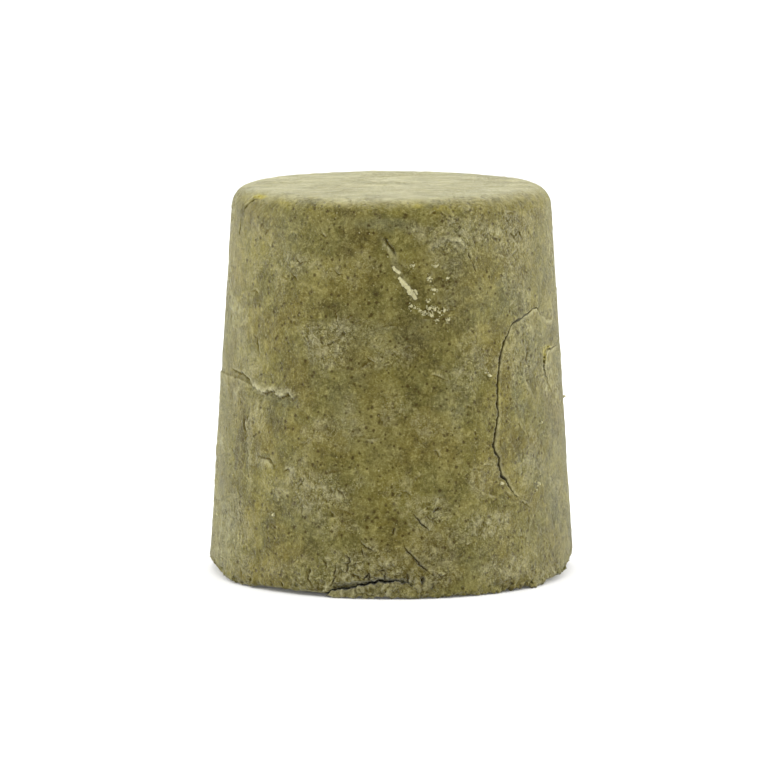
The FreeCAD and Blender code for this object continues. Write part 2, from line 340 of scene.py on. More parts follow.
def ledge(places, step, seed, above=1.6, below=1.4, pale=0.8, undercut=0.5, wander=0.1, dark=0.8):
    """A torn edge: the paste on the line's left stands over the paste on its right; its lip is painted pale
    as a highlight, and the paste under it is painted dark and grey as shadow.
    """
    line = Trace(places, seed, wander)

    def apply(skin):
        at, away, left, spot = line.near(skin.flat, max(above, below))
        ends = line.ends(-0.2, 2.0)[spot]
        ends = ends * (1 + 0.5 * wander_along(line.arc, 1.1, seed + 3)[spot])
        over = ramp(left, -0.04, 0.05)
        raised = step * (1 - undercut) * (1 - ramp(away, 0.1, above))
        sunk = step * undercut * (1 - ramp(away, 0.05, below))
        skin.lift[at] += ends * (over * raised - (1 - over) * sunk)
        # Painted highlight on the lip, and painted shadow under it, dark close by and grey further off.
        skin.tint("pale", at, np.clip(pale * ends * over * (1 - ramp(away, 0.2, 0.75)), 0, 1))
        skin.tint("dark", at, np.clip(dark * ends * (1 - over) * (1 - ramp(away, 0.05, 0.3)), 0, 1))
        skin.tint("grey", at, np.clip(dark * ends * (1 - over) * (1 - ramp(away, 0.4, 1.0)), 0, 1))

    return line, apply


MARKS = [
    # The long crack goes on, faint, past the flake, and a thin sheet has lifted at its upper right.
    crack([(43.5, 11.0), (48, 10.2), (50.5, 9.6)], 0.08, 0.12, 11, dark=0.5),
    ledge([(75, 32.1), (70, 31.7), (66, 32.0), (62.5, 32.7), (60.5, 33.3)], 0.14, 12, above=2.0, below=1.0,
          pale=0.4, dark=0.5),
    crack([(52.3, 28.9), (52.0, 27.9), (51.0, 27.2)], 0.3, 0.2, 13, dark=0.5),
    crack([(48.8, 27.6), (48.3, 26.8)], 0.2, 0.12, 14, dark=0.35),
    # Torn edge across the left.
    ledge([(-57, 25.1), (-54.5, 24.8), (-52, 24.3), (-50, 24.0), (-48.6, 23.75), (-47.4, 23.6), (-46, 23.85),
           (-44, 24.0), (-42.8, 24.15), (-41.8, 23.95), (-40.6, 23.6), (-39.4, 23.45), (-38, 23.65),
           (-36, 23.75), (-34.5, 23.6), (-31, 23.6)], 0.55, 15, above=1.4, below=2.0, undercut=0.6,
          wander=0.3, dark=1.0, pale=0.85),
    crack([(-69, 25.7), (-64, 25.6), (-60, 25.5), (-57, 25.2), (-54.5, 24.9), (-53, 24.5)], 0.17, 0.28, 16,
          dark=0.7, wander=0.14),
    ledge([(-52, 24.0), (-56, 24.6), (-60, 24.9), (-68, 24.9), (-76, 24.9), (-84, 24.7), (-92, 24.4)], 0.2,
          17, above=2.4, below=2.0, undercut=0.4, dark=0.15, pale=0.2),
    # Top right: a fold and the crack that runs down from it.
    ledge([(12.2, 41.0), (14.7, 41.7), (18.9, 42.6), (22, 42.4), (25.1, 42.0), (27.2, 41.2)], 0.22, 44,
          above=0.9, below=0.7, pale=0.75, dark=0.12, wander=0.34),
    ledge([(30.2, 42.1), (32, 42.5), (34.4, 42.3)], 0.22, 45, above=0.7, below=0.5, pale=1.0, dark=0.2),
    ledge([(16, 38.9), (18.4, 39.3), (20.6, 39.0)], 0.16, 46, above=0.6, below=0.5, pale=0.6, dark=0.2),
    ledge([(33, 42.6), (36.5, 43.4), (40, 43.0)], 0.2, 47, above=0.9, below=0.6, pale=0.6, dark=0.2),
    ledge([(4, 43.4), (9, 43.9), (13, 43.3)], 0.18, 48, above=0.9, below=0.6, pale=0.5, dark=0.2),
    # The chip's rim.
    ledge([(72, 28.6), (66, 28.45), (63.7, 27.9), (62.1, 26.1), (63.6, 25.0)], 0.22, 49, above=0.6, below=0.5,
          pale=1.0, dark=0.3, wander=0.2),
    crack([(27.3, 41.1), (28.0, 40.6), (28.6, 40.1)], 0.16, 0.25, 19),
    crack([(29.0, 39.9), (29.5, 39.4), (29.9, 38.8)], 0.13, 0.2, 20),
    # Lower front.
    crack([(3.5, 6.7), (4.2, 6.2), (5.5, 5.6), (7, 4.9), (8.5, 4.2), (10, 3.6), (12, 3.0)], 0.13, 0.3, 21,
          wander=0.16),
    crack([(6.3, 10.3), (8, 9.8), (9.5, 9.0), (11, 8.4), (12.7, 8.0)], 0.13, 0.28, 22, wander=0.16),
    crack([(15.2, 11.0), (14.5, 10.7), (13.3, 10.2)], 0.34, 0.3, 23),
    ledge([(19, 12.1), (17, 12.0), (14.5, 11.9), (12.3, 11.5)], 0.14, 24, above=1.0, below=0.8, pale=0.3),
    crack([(0.9, 8.7), (0.7, 8.1), (0.5, 7.6)], 0.13, 0.3, 25),
    crack([(-14.2, 5.4), (-13, 4.8), (-13, 4.4), (-14, 3.9)], 0.16, 0.35, 26),
    crack([(-10.4, 7.2), (-9, 6.5), (-7, 6), (-4.6, 5.6)], 0.13, 0.22, 27, dark=0.6),
    crack([(-17.3, 3.6), (-17.6, 3.2), (-18.1, 2.7)], 0.2, 0.35, 28),
    crack([(-26, 3.4), (-26, 2.6)], 0.2, 0.3, 29),
    crack([(4.6, 3.2), (5.0, 2.5), (5.2, 1.9)], 0.3, 0.5, 30),
    crack([(-6.7, 3.2), (-7.6, 2.7), (-8.6, 2.2)], 0.2, 0.5, 31),
    crack([(-2.2, 3.0), (-2.0, 2.3)], 0.16, 0.4, 32),
    crack([(-26.9, 2.9), (-26.4, 2.1), (-25.2, 1.3)], 0.14, 0.25, 100),
    crack([(-17.3, 2.6), (-17.9, 2.0), (-18.8, 1.4)], 0.17, 0.3, 101),
    crack([(-13.5, 4.5), (-13.8, 4.1), (-13.3, 3.6), (-14.4, 3.1)], 0.14, 0.25, 102),
    crack([(-7.4, 3.5), (-6.7, 2.9), (-6.9, 2.3), (-8.2, 1.9)], 0.15, 0.3, 103),
    crack([(-9.4, 6.2), (-9.1, 5.6), (-8.2, 5.0)], 0.14, 0.2, 104),
    crack([(-0.6, 3.2), (-2.0, 3.5), (-3.8, 3.4), (-5.2, 3.7)], 0.14, 0.2, 105),
    crack([(-36.4, 1.4), (-36.0, 0.9), (-35.6, 0.3)], 0.24, 0.3, 106),
    crack([(-21.5, 4.4), (-20.4, 3.9), (-20.6, 3.2)], 0.16, 0.2, 107),
    crack([(-11.6, 2.9), (-10.2, 2.7), (-9.6, 2.2)], 0.14, 0.2, 108),
    # Upper left: slits at the shoulder.
    crack([(-69, 41.8), (-68.2, 43.0), (-67.6, 44.4)], 0.24, 0.4, 33),
    crack([(-65.6, 45.0), (-64, 45.8), (-62, 46.6), (-58.5, 47.0)], 0.28, 0.4, 34),
    ledge([(-65, 46.0), (-61.6, 47.1), (-56, 47.5)], 0.16, 65, above=0.6, below=0.3, pale=0.6, dark=0.1),
    crack([(-72, 38.5), (-71.5, 40.2), (-71.2, 41.6)], 0.1, 0.15, 35, dark=0.4),
    # Small folds and creases over the front, from left to right.
    ledge([(-53.6, 22.6), (-54, 20.8), (-53.6, 19), (-54.2, 17.4), (-53.2, 15.6), (-52.2, 13.4),
           (-50.4, 11.0)], 0.22, 50, above=1.4, below=1.6, pale=0.25, dark=0.6, wander=0.2),
    crack([(-54.2, 21.4), (-56.6, 20.0), (-55.4, 18.4), (-56.8, 17.4)], 0.16, 0.12, 66, dark=0.5,
          wander=0.35),
    ledge([(-40.2, 14.4), (-41, 15.2), (-43.5, 15.9), (-46.5, 15.8), (-49.5, 16.2)], 0.4, 51, above=2.0,
          below=0.6, pale=0.5, dark=1.0),
    crack([(-36.6, 14.5), (-35.2, 14.9), (-33.6, 14.5)], 0.13, 0.12, 52),
    crack([(-51.4, 30.8), (-51, 29.4), (-49.6, 28.2)], 0.16, 0.14, 53, dark=0.5),
    crack([(-56.4, 35.6), (-54, 35.9), (-51, 35.2)], 0.14, 0.12, 54, dark=0.5),
    crack([(-35, 40.3), (-33, 39.6), (-31, 39.9)], 0.15, 0.16, 55),
    crack([(-36.6, 38.4), (-35, 38.0), (-33.8, 37.5)], 0.13, 0.12, 56),
    crack([(-25.4, 43.3), (-24.4, 43.2), (-23.2, 42.8)], 0.13, 0.12, 57),
    crack([(-19.8, 39.0), (-18.2, 38.5), (-16.8, 38.7)], 0.15, 0.16, 58),
    crack([(-19.2, 34.2), (-18.6, 33), (-17.4, 32.0)], 0.14, 0.12, 59),
    crack([(-17.4, 13.0), (-16, 12.6), (-14.8, 12.0)], 0.16, 0.16, 80),
    crack([(-19.8, 10.4), (-18.8, 9.8), (-17.6, 9.6)], 0.3, 0.2, 81, dark=0.5),
    crack([(-8.8, 29.0), (-7.2, 28.5), (-4.6, 28.0)], 0.14, 0.12, 82, dark=0.6),
    crack([(-0.2, 29.7), (1.2, 29.2), (2.8, 28.8)], 0.28, 0.16, 83, dark=0.4),
    crack([(12.4, 26.8), (15, 26.5), (18.6, 25.9)], 0.14, 0.12, 84, dark=0.6),
    ledge([(24.0, 28.0), (22.6, 26.9), (20.8, 26.4)], 0.2, 85, above=0.7, below=0.8, pale=0.9, dark=0.4),
    ledge([(28.2, 22.8), (28.6, 24.0), (27, 25.1), (24.6, 25.4)], 0.14, 86, above=1.0, below=1.4, pale=0.15,
          dark=0.3),
    crack([(13.2, 17.6), (14.6, 17.5), (15.6, 16.7)], 0.14, 0.12, 87, dark=0.6),
    crack([(2.6, 12.9), (4.6, 12.8), (6.8, 12.2)], 0.12, 0.12, 88, dark=0.5),
    crack([(44, 22.6), (45.2, 22.2), (46.2, 21.3)], 0.13, 0.12, 89, dark=0.6),
    crack([(45, 20.3), (46.4, 20.0), (47.8, 19.0)], 0.13, 0.12, 90, dark=0.6),
    ledge([(54.6, 22.2), (53.4, 23.6), (51.6, 24.6), (50, 25.4), (49.6, 27.0)], 0.16, 91, above=1.2,
          below=1.0, pale=0.3, dark=0.3),
    crack([(42.6, 45.2), (45, 44.6), (47.2, 43.8)], 0.16, 0.16, 92, dark=0.6),
    crack([(45.5, 43.4), (47.5, 42.8), (49, 41.8)], 0.13, 0.12, 93, dark=0.6),
    crack([(50.5, 43.5), (51.6, 42.9), (52.4, 42.2)], 0.16, 0.2, 94),
    crack([(36, 43.2), (38, 42.6), (40.4, 42.4)], 0.12, 0.12, 95, dark=0.5),
    crack([(58, 30.3), (61, 29.8), (64, 29.9)], 0.14, 0.14, 96, dark=0.5),
    crack([(8.4, 2.9), (9.4, 2.2), (9.2, 1.4)], 0.2, 0.3, 97),
    crack([(9.2, 2.9), (9.8, 2.2), (9.5, 1.5)], 0.34, 0.4, 109),
    crack([(13.6, 3.1), (15.4, 2.6), (17.6, 2.7)], 0.15, 0.16, 98),
    crack([(22.4, 6.4), (24.6, 6.1), (26.8, 6.5)], 0.13, 0.12, 99, dark=0.6),
    # Behind and beyond the sides.
    crack([(118, 14), (121, 16.4), (126, 18.2), (128, 21.5), (133, 23.4)], 0.18, 0.4, 36),
    crack([(-142, 33), (-138, 34.5), (-134, 34.9), (-131, 37.2)], 0.16, 0.35, 37),
    crack([(-152, 6), (-149, 7.2), (-145, 7.6)], 0.16, 0.3, 38),
    ledge([(170, 27.2), (164, 27.8), (157, 27.2), (151, 27.9), (146, 27.4)], 0.24, 39),
    ledge([(-112, 12.9), (-106, 13.6), (-100, 13.2)], 0.2, 40),
    ledge([(104, 38.4), (99, 38.0), (94, 38.3)], 0.2, 41, pale=0.5),
    ledge([(-158, 21.5), (-150, 22.4), (-144, 21.8), (-137, 22.6)], 0.26, 120, pale=0.5, dark=0.4),
    ledge([(-92, 31.5), (-98, 30.6), (-104, 31.2)], 0.24, 121, pale=0.6),
    ledge([(132, 9.5), (126, 8.8), (119, 9.6), (113, 9.0)], 0.26, 122, pale=0.6),
    ledge([(176, 40.6), (169, 41.4), (160, 40.8)], 0.2, 123, pale=0.5, dark=0.4),
    crack([(92, 20.5), (94.5, 18.6), (93.8, 16.2), (96, 14.4)], 0.16, 0.3, 124),
    crack([(-176, 12.2), (-171, 13.4), (-167, 13.0), (-162, 14.6)], 0.15, 0.25, 125),
    crack([(-122, 24.6), (-119, 22.2), (-119.6, 20.4)], 0.16, 0.3, 126),
    crack([(150, 15.8), (153, 17.0), (157, 16.6)], 0.14, 0.25, 127),
    crack([(-84, 8.2), (-80, 9.4), (-77, 9.0)], 0.14, 0.25, 128),
    crack([(-100, 43.6), (-95, 44.4), (-90, 44.0)], 0.16, 0.25, 129),
    crack([(138, 43.8), (143, 44.8), (149, 44.4)], 0.16, 0.25, 130),
    crack([(-128, 3.6), (-124, 2.6), (-123, 1.4)], 0.2, 0.3, 131),
    crack([(171, 4.2), (174, 3.0), (174, 1.8)], 0.2, 0.3, 132),
]

SCRAPE_SLOT = Trace([(-2.5, 43.4), (-1.5, 42.4), (-0.6, 42.1), (0.5, 41.7), (1.1, 40.9)], 50, 0.14)
SCRAPE_BED = Trace([(-1.6, 42.3), (0.9, 40.9), (1.0, 39.9), (2.4, 38.9), (5.0, 37.4), (7.5, 36.1),
                    (9.0, 35.2)], 51)

FLAKE_LINE = Trace(FLAKE, 60, 0.05, closed=True)
CHIP_LINE = Trace(CHIP, 61, 0.12, closed=True)
FLAP_LINE = Trace(FLAP, 62, 0.2, closed=True)

# The lip over the flap: from here the wall turns in to the dark gap.
FLAP_LIP = Trace([(9.0, 1.3), (6.0, 2.5), (0.0, 2.7), (-5.0, 2.7), (-8.0, 2.35), (-12.0, 2.15), (-17.0, 2.0),
                  (-21.5, 1.0)], 63, 0.15)

# How far the foot's edge is worn up from the floor: turn and height.
FOOT_WEAR = [
    (-180, 0.3), (-150, 0.12), (-120, 0.4), (-97, 0.4), (-90, 0.9), (-80, 1.0), (-70, 0.7), (-60, 0.1),
    (-51, 0.08), (-47, 0.4), (-38, 0.48), (-24, 0.42), (-20, 0.25), (-8, 0.3), (4, 0.28), (7, 0.1),
    (14, 0.04), (20, 0.08), (26, 0.06), (32, 0.12), (44, 0.2), (50, 0.06), (55, 0.15), (61, 0.4), (66, 0.45),
    (72, 0.6), (78, 1.0), (84, 1.45), (90, 1.5), (98, 0.7), (110, 0.3), (140, 0.1), (165, 0.35), (180, 0.3),
]

# How ragged the foot's edge is: turn and amount.
FOOT_RAGGED = [
    (-180, 0.5), (-95, 0.6), (-75, 1.0), (-50, 0.9), (-44, 0.35), (-22, 0.3), (-8, 0.6), (10, 0.8), (20, 1.1),
    (30, 1.3), (50, 1.6), (84, 1.6), (95, 0.8), (180, 0.5),
]

# Soft patches of each tint: turn, rise, half the width in degrees, half the height, and strength.
PATCHES = {
    "rough": [
        (-22, 30.5, 11, 3.8, 1.0), (-25, 12.4, 17, 2.9, 1.0), (-19, 8.6, 9, 2.0, 0.6),
        (12, 10.0, 9, 2.6, 1.0), (32, 8.4, 11, 2.0, 1.0), (-8, 4.6, 15, 2.4, 0.8), (4, 1.8, 12, 1.8, 1.0),
        (-33, 39.6, 8, 1.8, 0.8), (-20, 38.8, 6, 1.5, 0.5), (24, 43.2, 17, 3.0, 0.9),
        (46, 42.8, 11, 3.4, 0.8), (-50, 21.5, 7, 3.0, 0.6), (51, 27.5, 5, 2.0, 0.8), (0, 29.0, 8, 1.6, 0.6),
        (-48, 15.6, 8, 1.2, 0.6), (64, 25.5, 7, 3.0, 0.7), (24, 26.5, 8, 2.4, 0.5), (40, 3.0, 16, 2.0, 0.7),
        (-42, 23.9, 13, 0.8, 0.7), (-60, 3.0, 12, 1.8, 0.5), (-8, 0.6, 18, 1.8, 1.0), (13, 2.2, 9, 2.0, 1.0),
        (58, 1.0, 16, 1.6, 0.9), (-36, 2.6, 8, 1.4, 0.5),
    ],
    "brown": [
        (14, 1.8, 6, 1.6, 0.8), (-57.5, 18.5, 5.0, 5.5, 1.0), (6, 31.0, 9, 3.2, 0.6),
        (12, 36.5, 11, 2.6, 0.6), (-16, 41.4, 4, 1.6, 0.8), (15, 5.0, 6, 2.2, 0.7), (-24, 34.6, 3, 1.2, 0.7),
        (50, 27.6, 4.5, 1.0, 0.9), (57, 25.3, 7, 2.2, 0.6), (-3, 18.0, 9, 4.0, 0.5), (26, 38.0, 6, 2.0, 0.4),
        (-15, 45.9, 3.5, 0.5, 1.0), (-13, 43.4, 9, 1.2, 0.7), (22, 45.4, 5, 0.5, 0.7),
        (-40, 45.0, 4, 0.6, 0.7), (-12, 3.0, 7, 1.0, 0.6), (-65, 22.0, 5, 3.0, 0.5),
    ],
    "grey": [
        # The first grey patch, under the torn edge on the left, is painted shadow.
        (-40, 23.1, 13, 0.8, 0.9), (36, 35.2, 20, 3.0, 0.6), (46.5, 24.5, 3.5, 5.0, 0.8),
        (20, 23.5, 9, 3.0, 0.5), (51, 14.5, 9, 3.0, 0.7), (-4, 44.7, 14, 1.0, 0.8),
        (-42, 43.0, 12, 2.5, 0.6), (-62, 7.0, 10, 4.0, 0.6), (66, 12.0, 8, 8.0, 0.6),
    ],
    "yellow": [
        (-44, 14.3, 6, 2.4, 0.7), (-47, 27.2, 9, 2.2, 0.5), (-20, 38.5, 11, 2.2, 0.4),
        (64.5, 27.2, 3.5, 1.4, 1.0), (30, 18.0, 8, 4.0, 0.3), (-60, 47.0, 9, 0.9, 1.0),
        (60, 45.8, 16, 1.2, 0.8), (40, 30.0, 3, 2.0, 0.5),
    ],
    "gold": [
        (-59, 47.3, 5.0, 0.45, 0.9), (63.2, 27.4, 1.6, 1.3, 0.8), (66.5, 28.4, 3.0, 0.4, 0.7),
        (10, 47.0, 4, 0.4, 0.5), (-44, 46.8, 5, 0.5, 0.4), (17.5, 46.6, 4, 0.5, 0.5),
        (38.0, 24.6, 0.5, 4.0, 0.4),
    ],
}


def lay_patches(skin):
    """Lays the soft patches, with uneven borders, and the ones that noise scatters all over; the top is
    painted pale as a highlight.
    """
    place = skin.smooth
    uneven = 0.45 * layered_noise(place, 2.4, 3, 60)
    for kind, patches in PATCHES.items():
        for turn, rise, half_turn, half_rise, amount in patches:
            away = np.hypot((skin.turn - turn) / half_turn, (skin.rise - rise) / half_rise) + uneven
            skin.tint(kind, EVERYWHERE, amount * (1 - ramp(away, 0.45, 1.1)))
    behind = 1 - 0.5 * ramp(80 - np.abs(skin.turn), 0, 25)
    rough = ramp(smooth_noise(place, 6.5, 22) + 0.4 * smooth_noise(place, 2.2, 23), 0.12, 0.5)
    skin.tint("rough", EVERYWHERE, behind * rough)
    # The top and the upper shoulder are painted pale in streaks: a painted highlight, as the top catches the
    # light.
    top = ramp(skin.rise, TOP_EDGE_RISE - 2.9, TOP_EDGE_RISE - 0.5)
    streak = 0.8 + 0.45 * layered_noise(place * (0.55, 1, 1), 2.0, 4, 58)
    skin.tint("pale", EVERYWHERE, np.clip(0.95 * top * streak, 0, 1))
    shoulder = ramp(skin.rise, TOP_EDGE_RISE - 4.2, TOP_EDGE_RISE - 2.2) * (1 - 0.6 * top)
    skin.tint("yellow", EVERYWHERE, np.clip(0.9 * shoulder * (0.8 + layered_noise(place, 2.0, 3, 59)), 0, 1))
    for number, kind in enumerate(("grey", "yellow", "brown")):
        cloud = ramp(layered_noise(place, 7.5, 3, 62 + 4 * number), 0.05, 0.75)
        skin.tint(kind, EVERYWHERE, (0.3 + 0.5 * behind) * 0.8 * cloud)


def cell_edges(points, size):
    """How far points are from the borders of uneven cells of about that size: 0 on a border."""
    spans = [noise.voronoi(Vector(point))[0][:2] for point in points / size]
    return np.array([second - first for first, second in spans])


def scatter_nicks(rng, number):
    """Short creases at random, most of them outside the smooth areas."""
    nicks = []
    while len(nicks) < number:
        turn, rise = rng.uniform(-180, 180), rng.uniform(1.5, TOP_EDGE_RISE + 1)
        spot = Skin([turn], [rise])
        lay_patches(spot)
        if spot.tints["rough"][0] < rng.uniform(-0.15, 0.7):
            continue
        heading, bend = rng.uniform(-1.2, 1.2), rng.uniform(-1.2, 1.2)
        length = rng.uniform(0.6, 2.2)
        places = [(turn, rise)]
        for _ in range(3):
            turn += math.degrees(length / 3 * math.cos(heading) / FLAT_RADIUS)
            rise += length / 3 * math.sin(heading)
            heading += bend / 3
            places.append((turn, rise))
        if rng.random() < 0.5:
            places.reverse()
        nicks.append(crack(places, rng.uniform(0.1, 0.2), rng.uniform(0.06, 0.18), 500 + 5 * len(nicks),
                           dark=rng.uniform(0.3, 0.75), lip=rng.uniform(0.02, 0.06)))
    return nicks


NICKS = scatter_nicks(random.Random(NICK_SEED), NICK_COUNT)


def fold(skin, warped):
    """Layers of paste that end in small steps, with painted shade on the steps."""
    level = 2.6 * layered_noise(warped * (1, 1, 1.35), 7.0, 2, 8)
    step = level - np.floor(level)
    there = ramp(smooth_noise(skin.smooth, 6.5, 12), -0.15, 0.45)
    skin.lift += 0.055 * there * (ramp(step, 0.0, 0.13) - step)
    # Painted shade on the face of each step.
    skin.tint("dark", EVERYWHERE, 0.30 * there * (1 - ramp(step, 0.0, 0.12)) * ramp(step, -0.08, 0.02))


def crease(skin, warped):
    """Soft creases, painted dark along their bottoms as shade."""
    near = 1 - np.abs(layered_noise(warped, 3.1, 2, 15)) * 3.2
    soft = ramp(smooth_noise(skin.smooth, 5.0, 17), 0.0, 0.5)
    skin.lift -= 0.05 * soft * ramp(near, 0.55, 1.0)
    # Painted shade in the creases.
    skin.tint("dark", EVERYWHERE, 0.22 * soft * ramp(near, 0.7, 1.0))


def roughen(skin, warped, grain):
    """Crumbly lumps and grain in the rough patches, and faint grain everywhere; the crevices between lumps
    are painted dark as shade, and the raised grain pale as a highlight.
    """
    rough = skin.tints["rough"]
    skin.lift += (0.016 + 0.085 * rough) * grain
    at = np.nonzero(rough > 0.03)[0]
    lump = ramp(cell_edges(warped[at], 1.05), 0.0, 0.32)
    skin.lift[at] += 0.09 * rough[at] * (lump - 0.8)
    # Painted shade in the crevices between lumps.
    skin.tint("dark", at, 0.22 * rough[at] * (1 - lump))
    # Painted highlight on the raised grain.
    skin.tint("pale", EVERYWHERE, 0.5 * rough * ramp(grain, -0.1, 0.6))


def crumble_foot(skin, warped, grain):
    """The foot's front edge, pressed from lumps that hardly hold together, with painted shade in the crevices
    and a painted highlight on the lumps.
    """
    place = skin.smooth
    away = np.hypot((skin.turn + 9) / 23, (skin.rise - 1.5) / 4.6)
    crumbly = 1 - ramp(away + 0.3 * smooth_noise(place, 2.4, 27), 0.5, 1.1)
    at = np.nonzero(crumbly > 0.03)[0]
    edge = cell_edges(warped[at] + 0.25 * grain[at, None], 1.5)
    lump = ramp(edge, 0.0, 0.4)
    fine = smooth_noise(place[at], 0.5, 28)
    skin.lift[at] += 0.2 * crumbly[at] * (lump - 0.75) + 0.17 * crumbly[at] * fine
    broken = ramp(smooth_noise(place[at], 1.3, 29), -0.2, 0.3)
    # Painted shade in the crevices, and a painted highlight on the raised lumps.
    skin.tint("dark", at, 0.6 * crumbly[at] * broken * (1 - ramp(edge, 0.0, 0.12)))
    skin.tint("pale", at, 0.85 * crumbly[at] * ramp(fine, 0.0, 0.5) * lump)
    skin.tint("rough", at, crumbly[at])


def knead(skin):
    """The unevenness of hand-pressed paste: swells, folds, creases, fine lumps and grain."""
    place = skin.smooth
    skin.lift += 0.07 * layered_noise(place, 11, 2, 1)
    warped = place + 0.9 * np.column_stack([smooth_noise(place, 3.2, 3 + k) for k in range(3)])
    fold(skin, warped)
    crease(skin, warped)
    skin.lift += 0.04 * layered_noise(place, 1.7, 2, 20)
    grain = layered_noise(place, 0.95, 2, 25)
    roughen(skin, warped, grain)
    crumble_foot(skin, warped, grain)


def pit(skin, rng, number):
    """A number of small hollows where grains have come out, all over, each painted dark inside as shade."""
    made = 0
    while made < number:
        spot = Skin([rng.uniform(-180, 180)], [rng.uniform(1, TOP_CENTRE_RISE)])
        size = rng.uniform(0.15, 0.45)
        if spot.radius[0] < rng.uniform(0, FOOT_RADIUS):
            continue
        made += 1
        near = np.nonzero((np.abs(skin.smooth - spot.smooth[0]) < size * 1.5).all(axis=1))[0]
        away = np.linalg.norm(skin.smooth[near] - spot.smooth[0], axis=1) / size
        hollow = 1 - ramp(away, 0.2, 1.1)
        skin.lift[near] -= 0.3 * size * hollow
        # Painted shade in the hollow.
        skin.tint("dark", near, 0.45 * hollow)


def scrape(skin):
    """A fingernail's slanted scrape, deep at its top, where its slot is painted dark as shade, with a pale
    raised lower rim.
    """
    at, away, _, spot = SCRAPE_BED.near(skin.flat, 1.4)
    ends = SCRAPE_BED.ends(-0.2, 1.5)[spot]
    skin.lift[at] -= 0.16 * ends * (1 - ramp(away, 0.15, 0.55))
    skin.lift[at] += 0.06 * ends * ramp(away, 0.4, 0.6) * (1 - ramp(away, 0.6, 1.1))
    skin.tint("pale", at, 0.35 * ends * (1 - ramp(away, 0.2, 0.6)))
    at, away, left, spot = SCRAPE_SLOT.near(skin.flat, 0.9)
    ends = SCRAPE_SLOT.ends(-0.1, 0.7)[spot]
    slot = 1 - ramp(away, 0.06, 0.22)
    skin.lift[at] -= 0.35 * ends * slot
    # Painted shade in the deep slot.
    skin.tint("dark", at, 0.8 * ends * slot)
    rim = ramp(-left, 0.2, 0.32) * (1 - ramp(-left, 0.4, 0.62))
    skin.lift[at] += 0.07 * ends * rim
    skin.tint("pale", at, 0.8 * ends * rim)


def shape_skin(skin):
    """Everything that the body and the pieces split from it have in common."""
    lay_patches(skin)
    knead(skin)
    pit(skin, random.Random(PIT_SEED), PIT_COUNT)
    for _, apply in MARKS + NICKS:
        apply(skin)
    scrape(skin)


# ---------------------------------------------------------------- the body's mesh

def ring_turns(radius, number):
    """Turns of a ring's points: closer together on the front half than behind."""
    if radius < 0.1:
        return np.array([0.0])
    fine = 2 * FRONT_HALF
    front = fine / FRONT_STEP
    back = (360 - fine) / BACK_STEP
    count = max(6, round(math.radians(1) * radius * (front + back)))
    share = (np.arange(count) + 0.5 * (number % 2)) / count * (front + back)
    turns = np.where(share < front, share * FRONT_STEP - FRONT_HALF, FRONT_HALF + (share - front) * BACK_STEP)
    return np.sort((turns + 180) % 360 - 180)


def zip_rings(first, first_start, second, second_start):
    """Triangles between two rings of sorted turns."""
    triangles = []
    i = j = 0
    count_first, count_second = len(first), len(second)
    while i < count_first or j < count_second:
        next_first = first[i + 1] if i + 1 < count_first else first[0] + 360 if i < count_first else 1e9
        next_second = second[j + 1] if j + 1 < count_second else second[0] + 360 if j < count_second else 1e9
        a, b = first_start + i % count_first, second_start + j % count_second
        if next_first <= next_second:
            if count_first > 1:
                triangles.append((a, first_start + (i + 1) % count_first, b))
            i += 1
        else:
            if count_second > 1:
                triangles.append((a, second_start + (j + 1) % count_second, b))
            j += 1
    return triangles


def body_grid():
    """Turns, rises and triangles of the whole skin, ring by ring from the foot's centre to the top's."""
    rises = np.concatenate((
        np.linspace(FOOT_CENTRE_RISE, FOOT_EDGE_RISE, int((FOOT_EDGE_RISE - FOOT_CENTRE_RISE) / FOOT_STEP)),
        np.arange(FOOT_EDGE_RISE + 0.12, 0.6, 0.16),
        np.arange(0.6, TOP_EDGE_RISE, ROW_STEP),
        np.linspace(TOP_EDGE_RISE, TOP_CENTRE_RISE, int((TOP_CENTRE_RISE - TOP_EDGE_RISE) / ROW_STEP)),
    ))
    turns, all_rises, triangles = [], [], []
    previous = previous_start = None
    total = 0
    for number, rise in enumerate(rises):
        radius = np.interp(rise, OUTLINE[0], OUTLINE[1])
        coarse = FOOT_STEP / FRONT_STEP if rise < FOOT_EDGE_RISE - 0.5 else 1.0
        ring = ring_turns(radius / coarse, number)
        if previous is not None:
            triangles += zip_rings(previous, previous_start, ring, total)
        turns.append(ring)
        all_rises.append(np.full(len(ring), rise))
        previous, previous_start = ring, total
        total += len(ring)
    return np.concatenate(turns), np.concatenate(all_rises), triangles


def tree_of_lines(lines):
    return make_tree(np.vstack([line.points for line in lines]))


def fine_places():
    """Where edges are split: a tree of lines, how near to them, and the longest edge that is left there."""
    front_reach = math.radians(FRONT_HALF) * FLAT_RADIUS
    foot = tree_of_lines([Trace([(turn, 0.1) for turn in range(-85, 86, 5)], 64)])
    crumbly = tree_of_lines([Trace([(-30, rise), (12, rise)], 65) for rise in (0.8, 2.0, 3.2, 4.4)])
    outlines = [SCRAPE_SLOT, FLAKE_LINE, CHIP_LINE, FLAP_LINE, FLAP_LIP]
    marks = tree_of_lines([line for line, _ in MARKS] + outlines)
    nicks = tree_of_lines([line for line, _ in NICKS if abs(line.points[0, 0]) < front_reach])
    return [(crumbly, 0.6, 0.24), (marks, 0.38, 0.2), (marks, 0.15, 0.1), (nicks, 0.22, 0.16),
            (foot, 0.5, 0.18)]


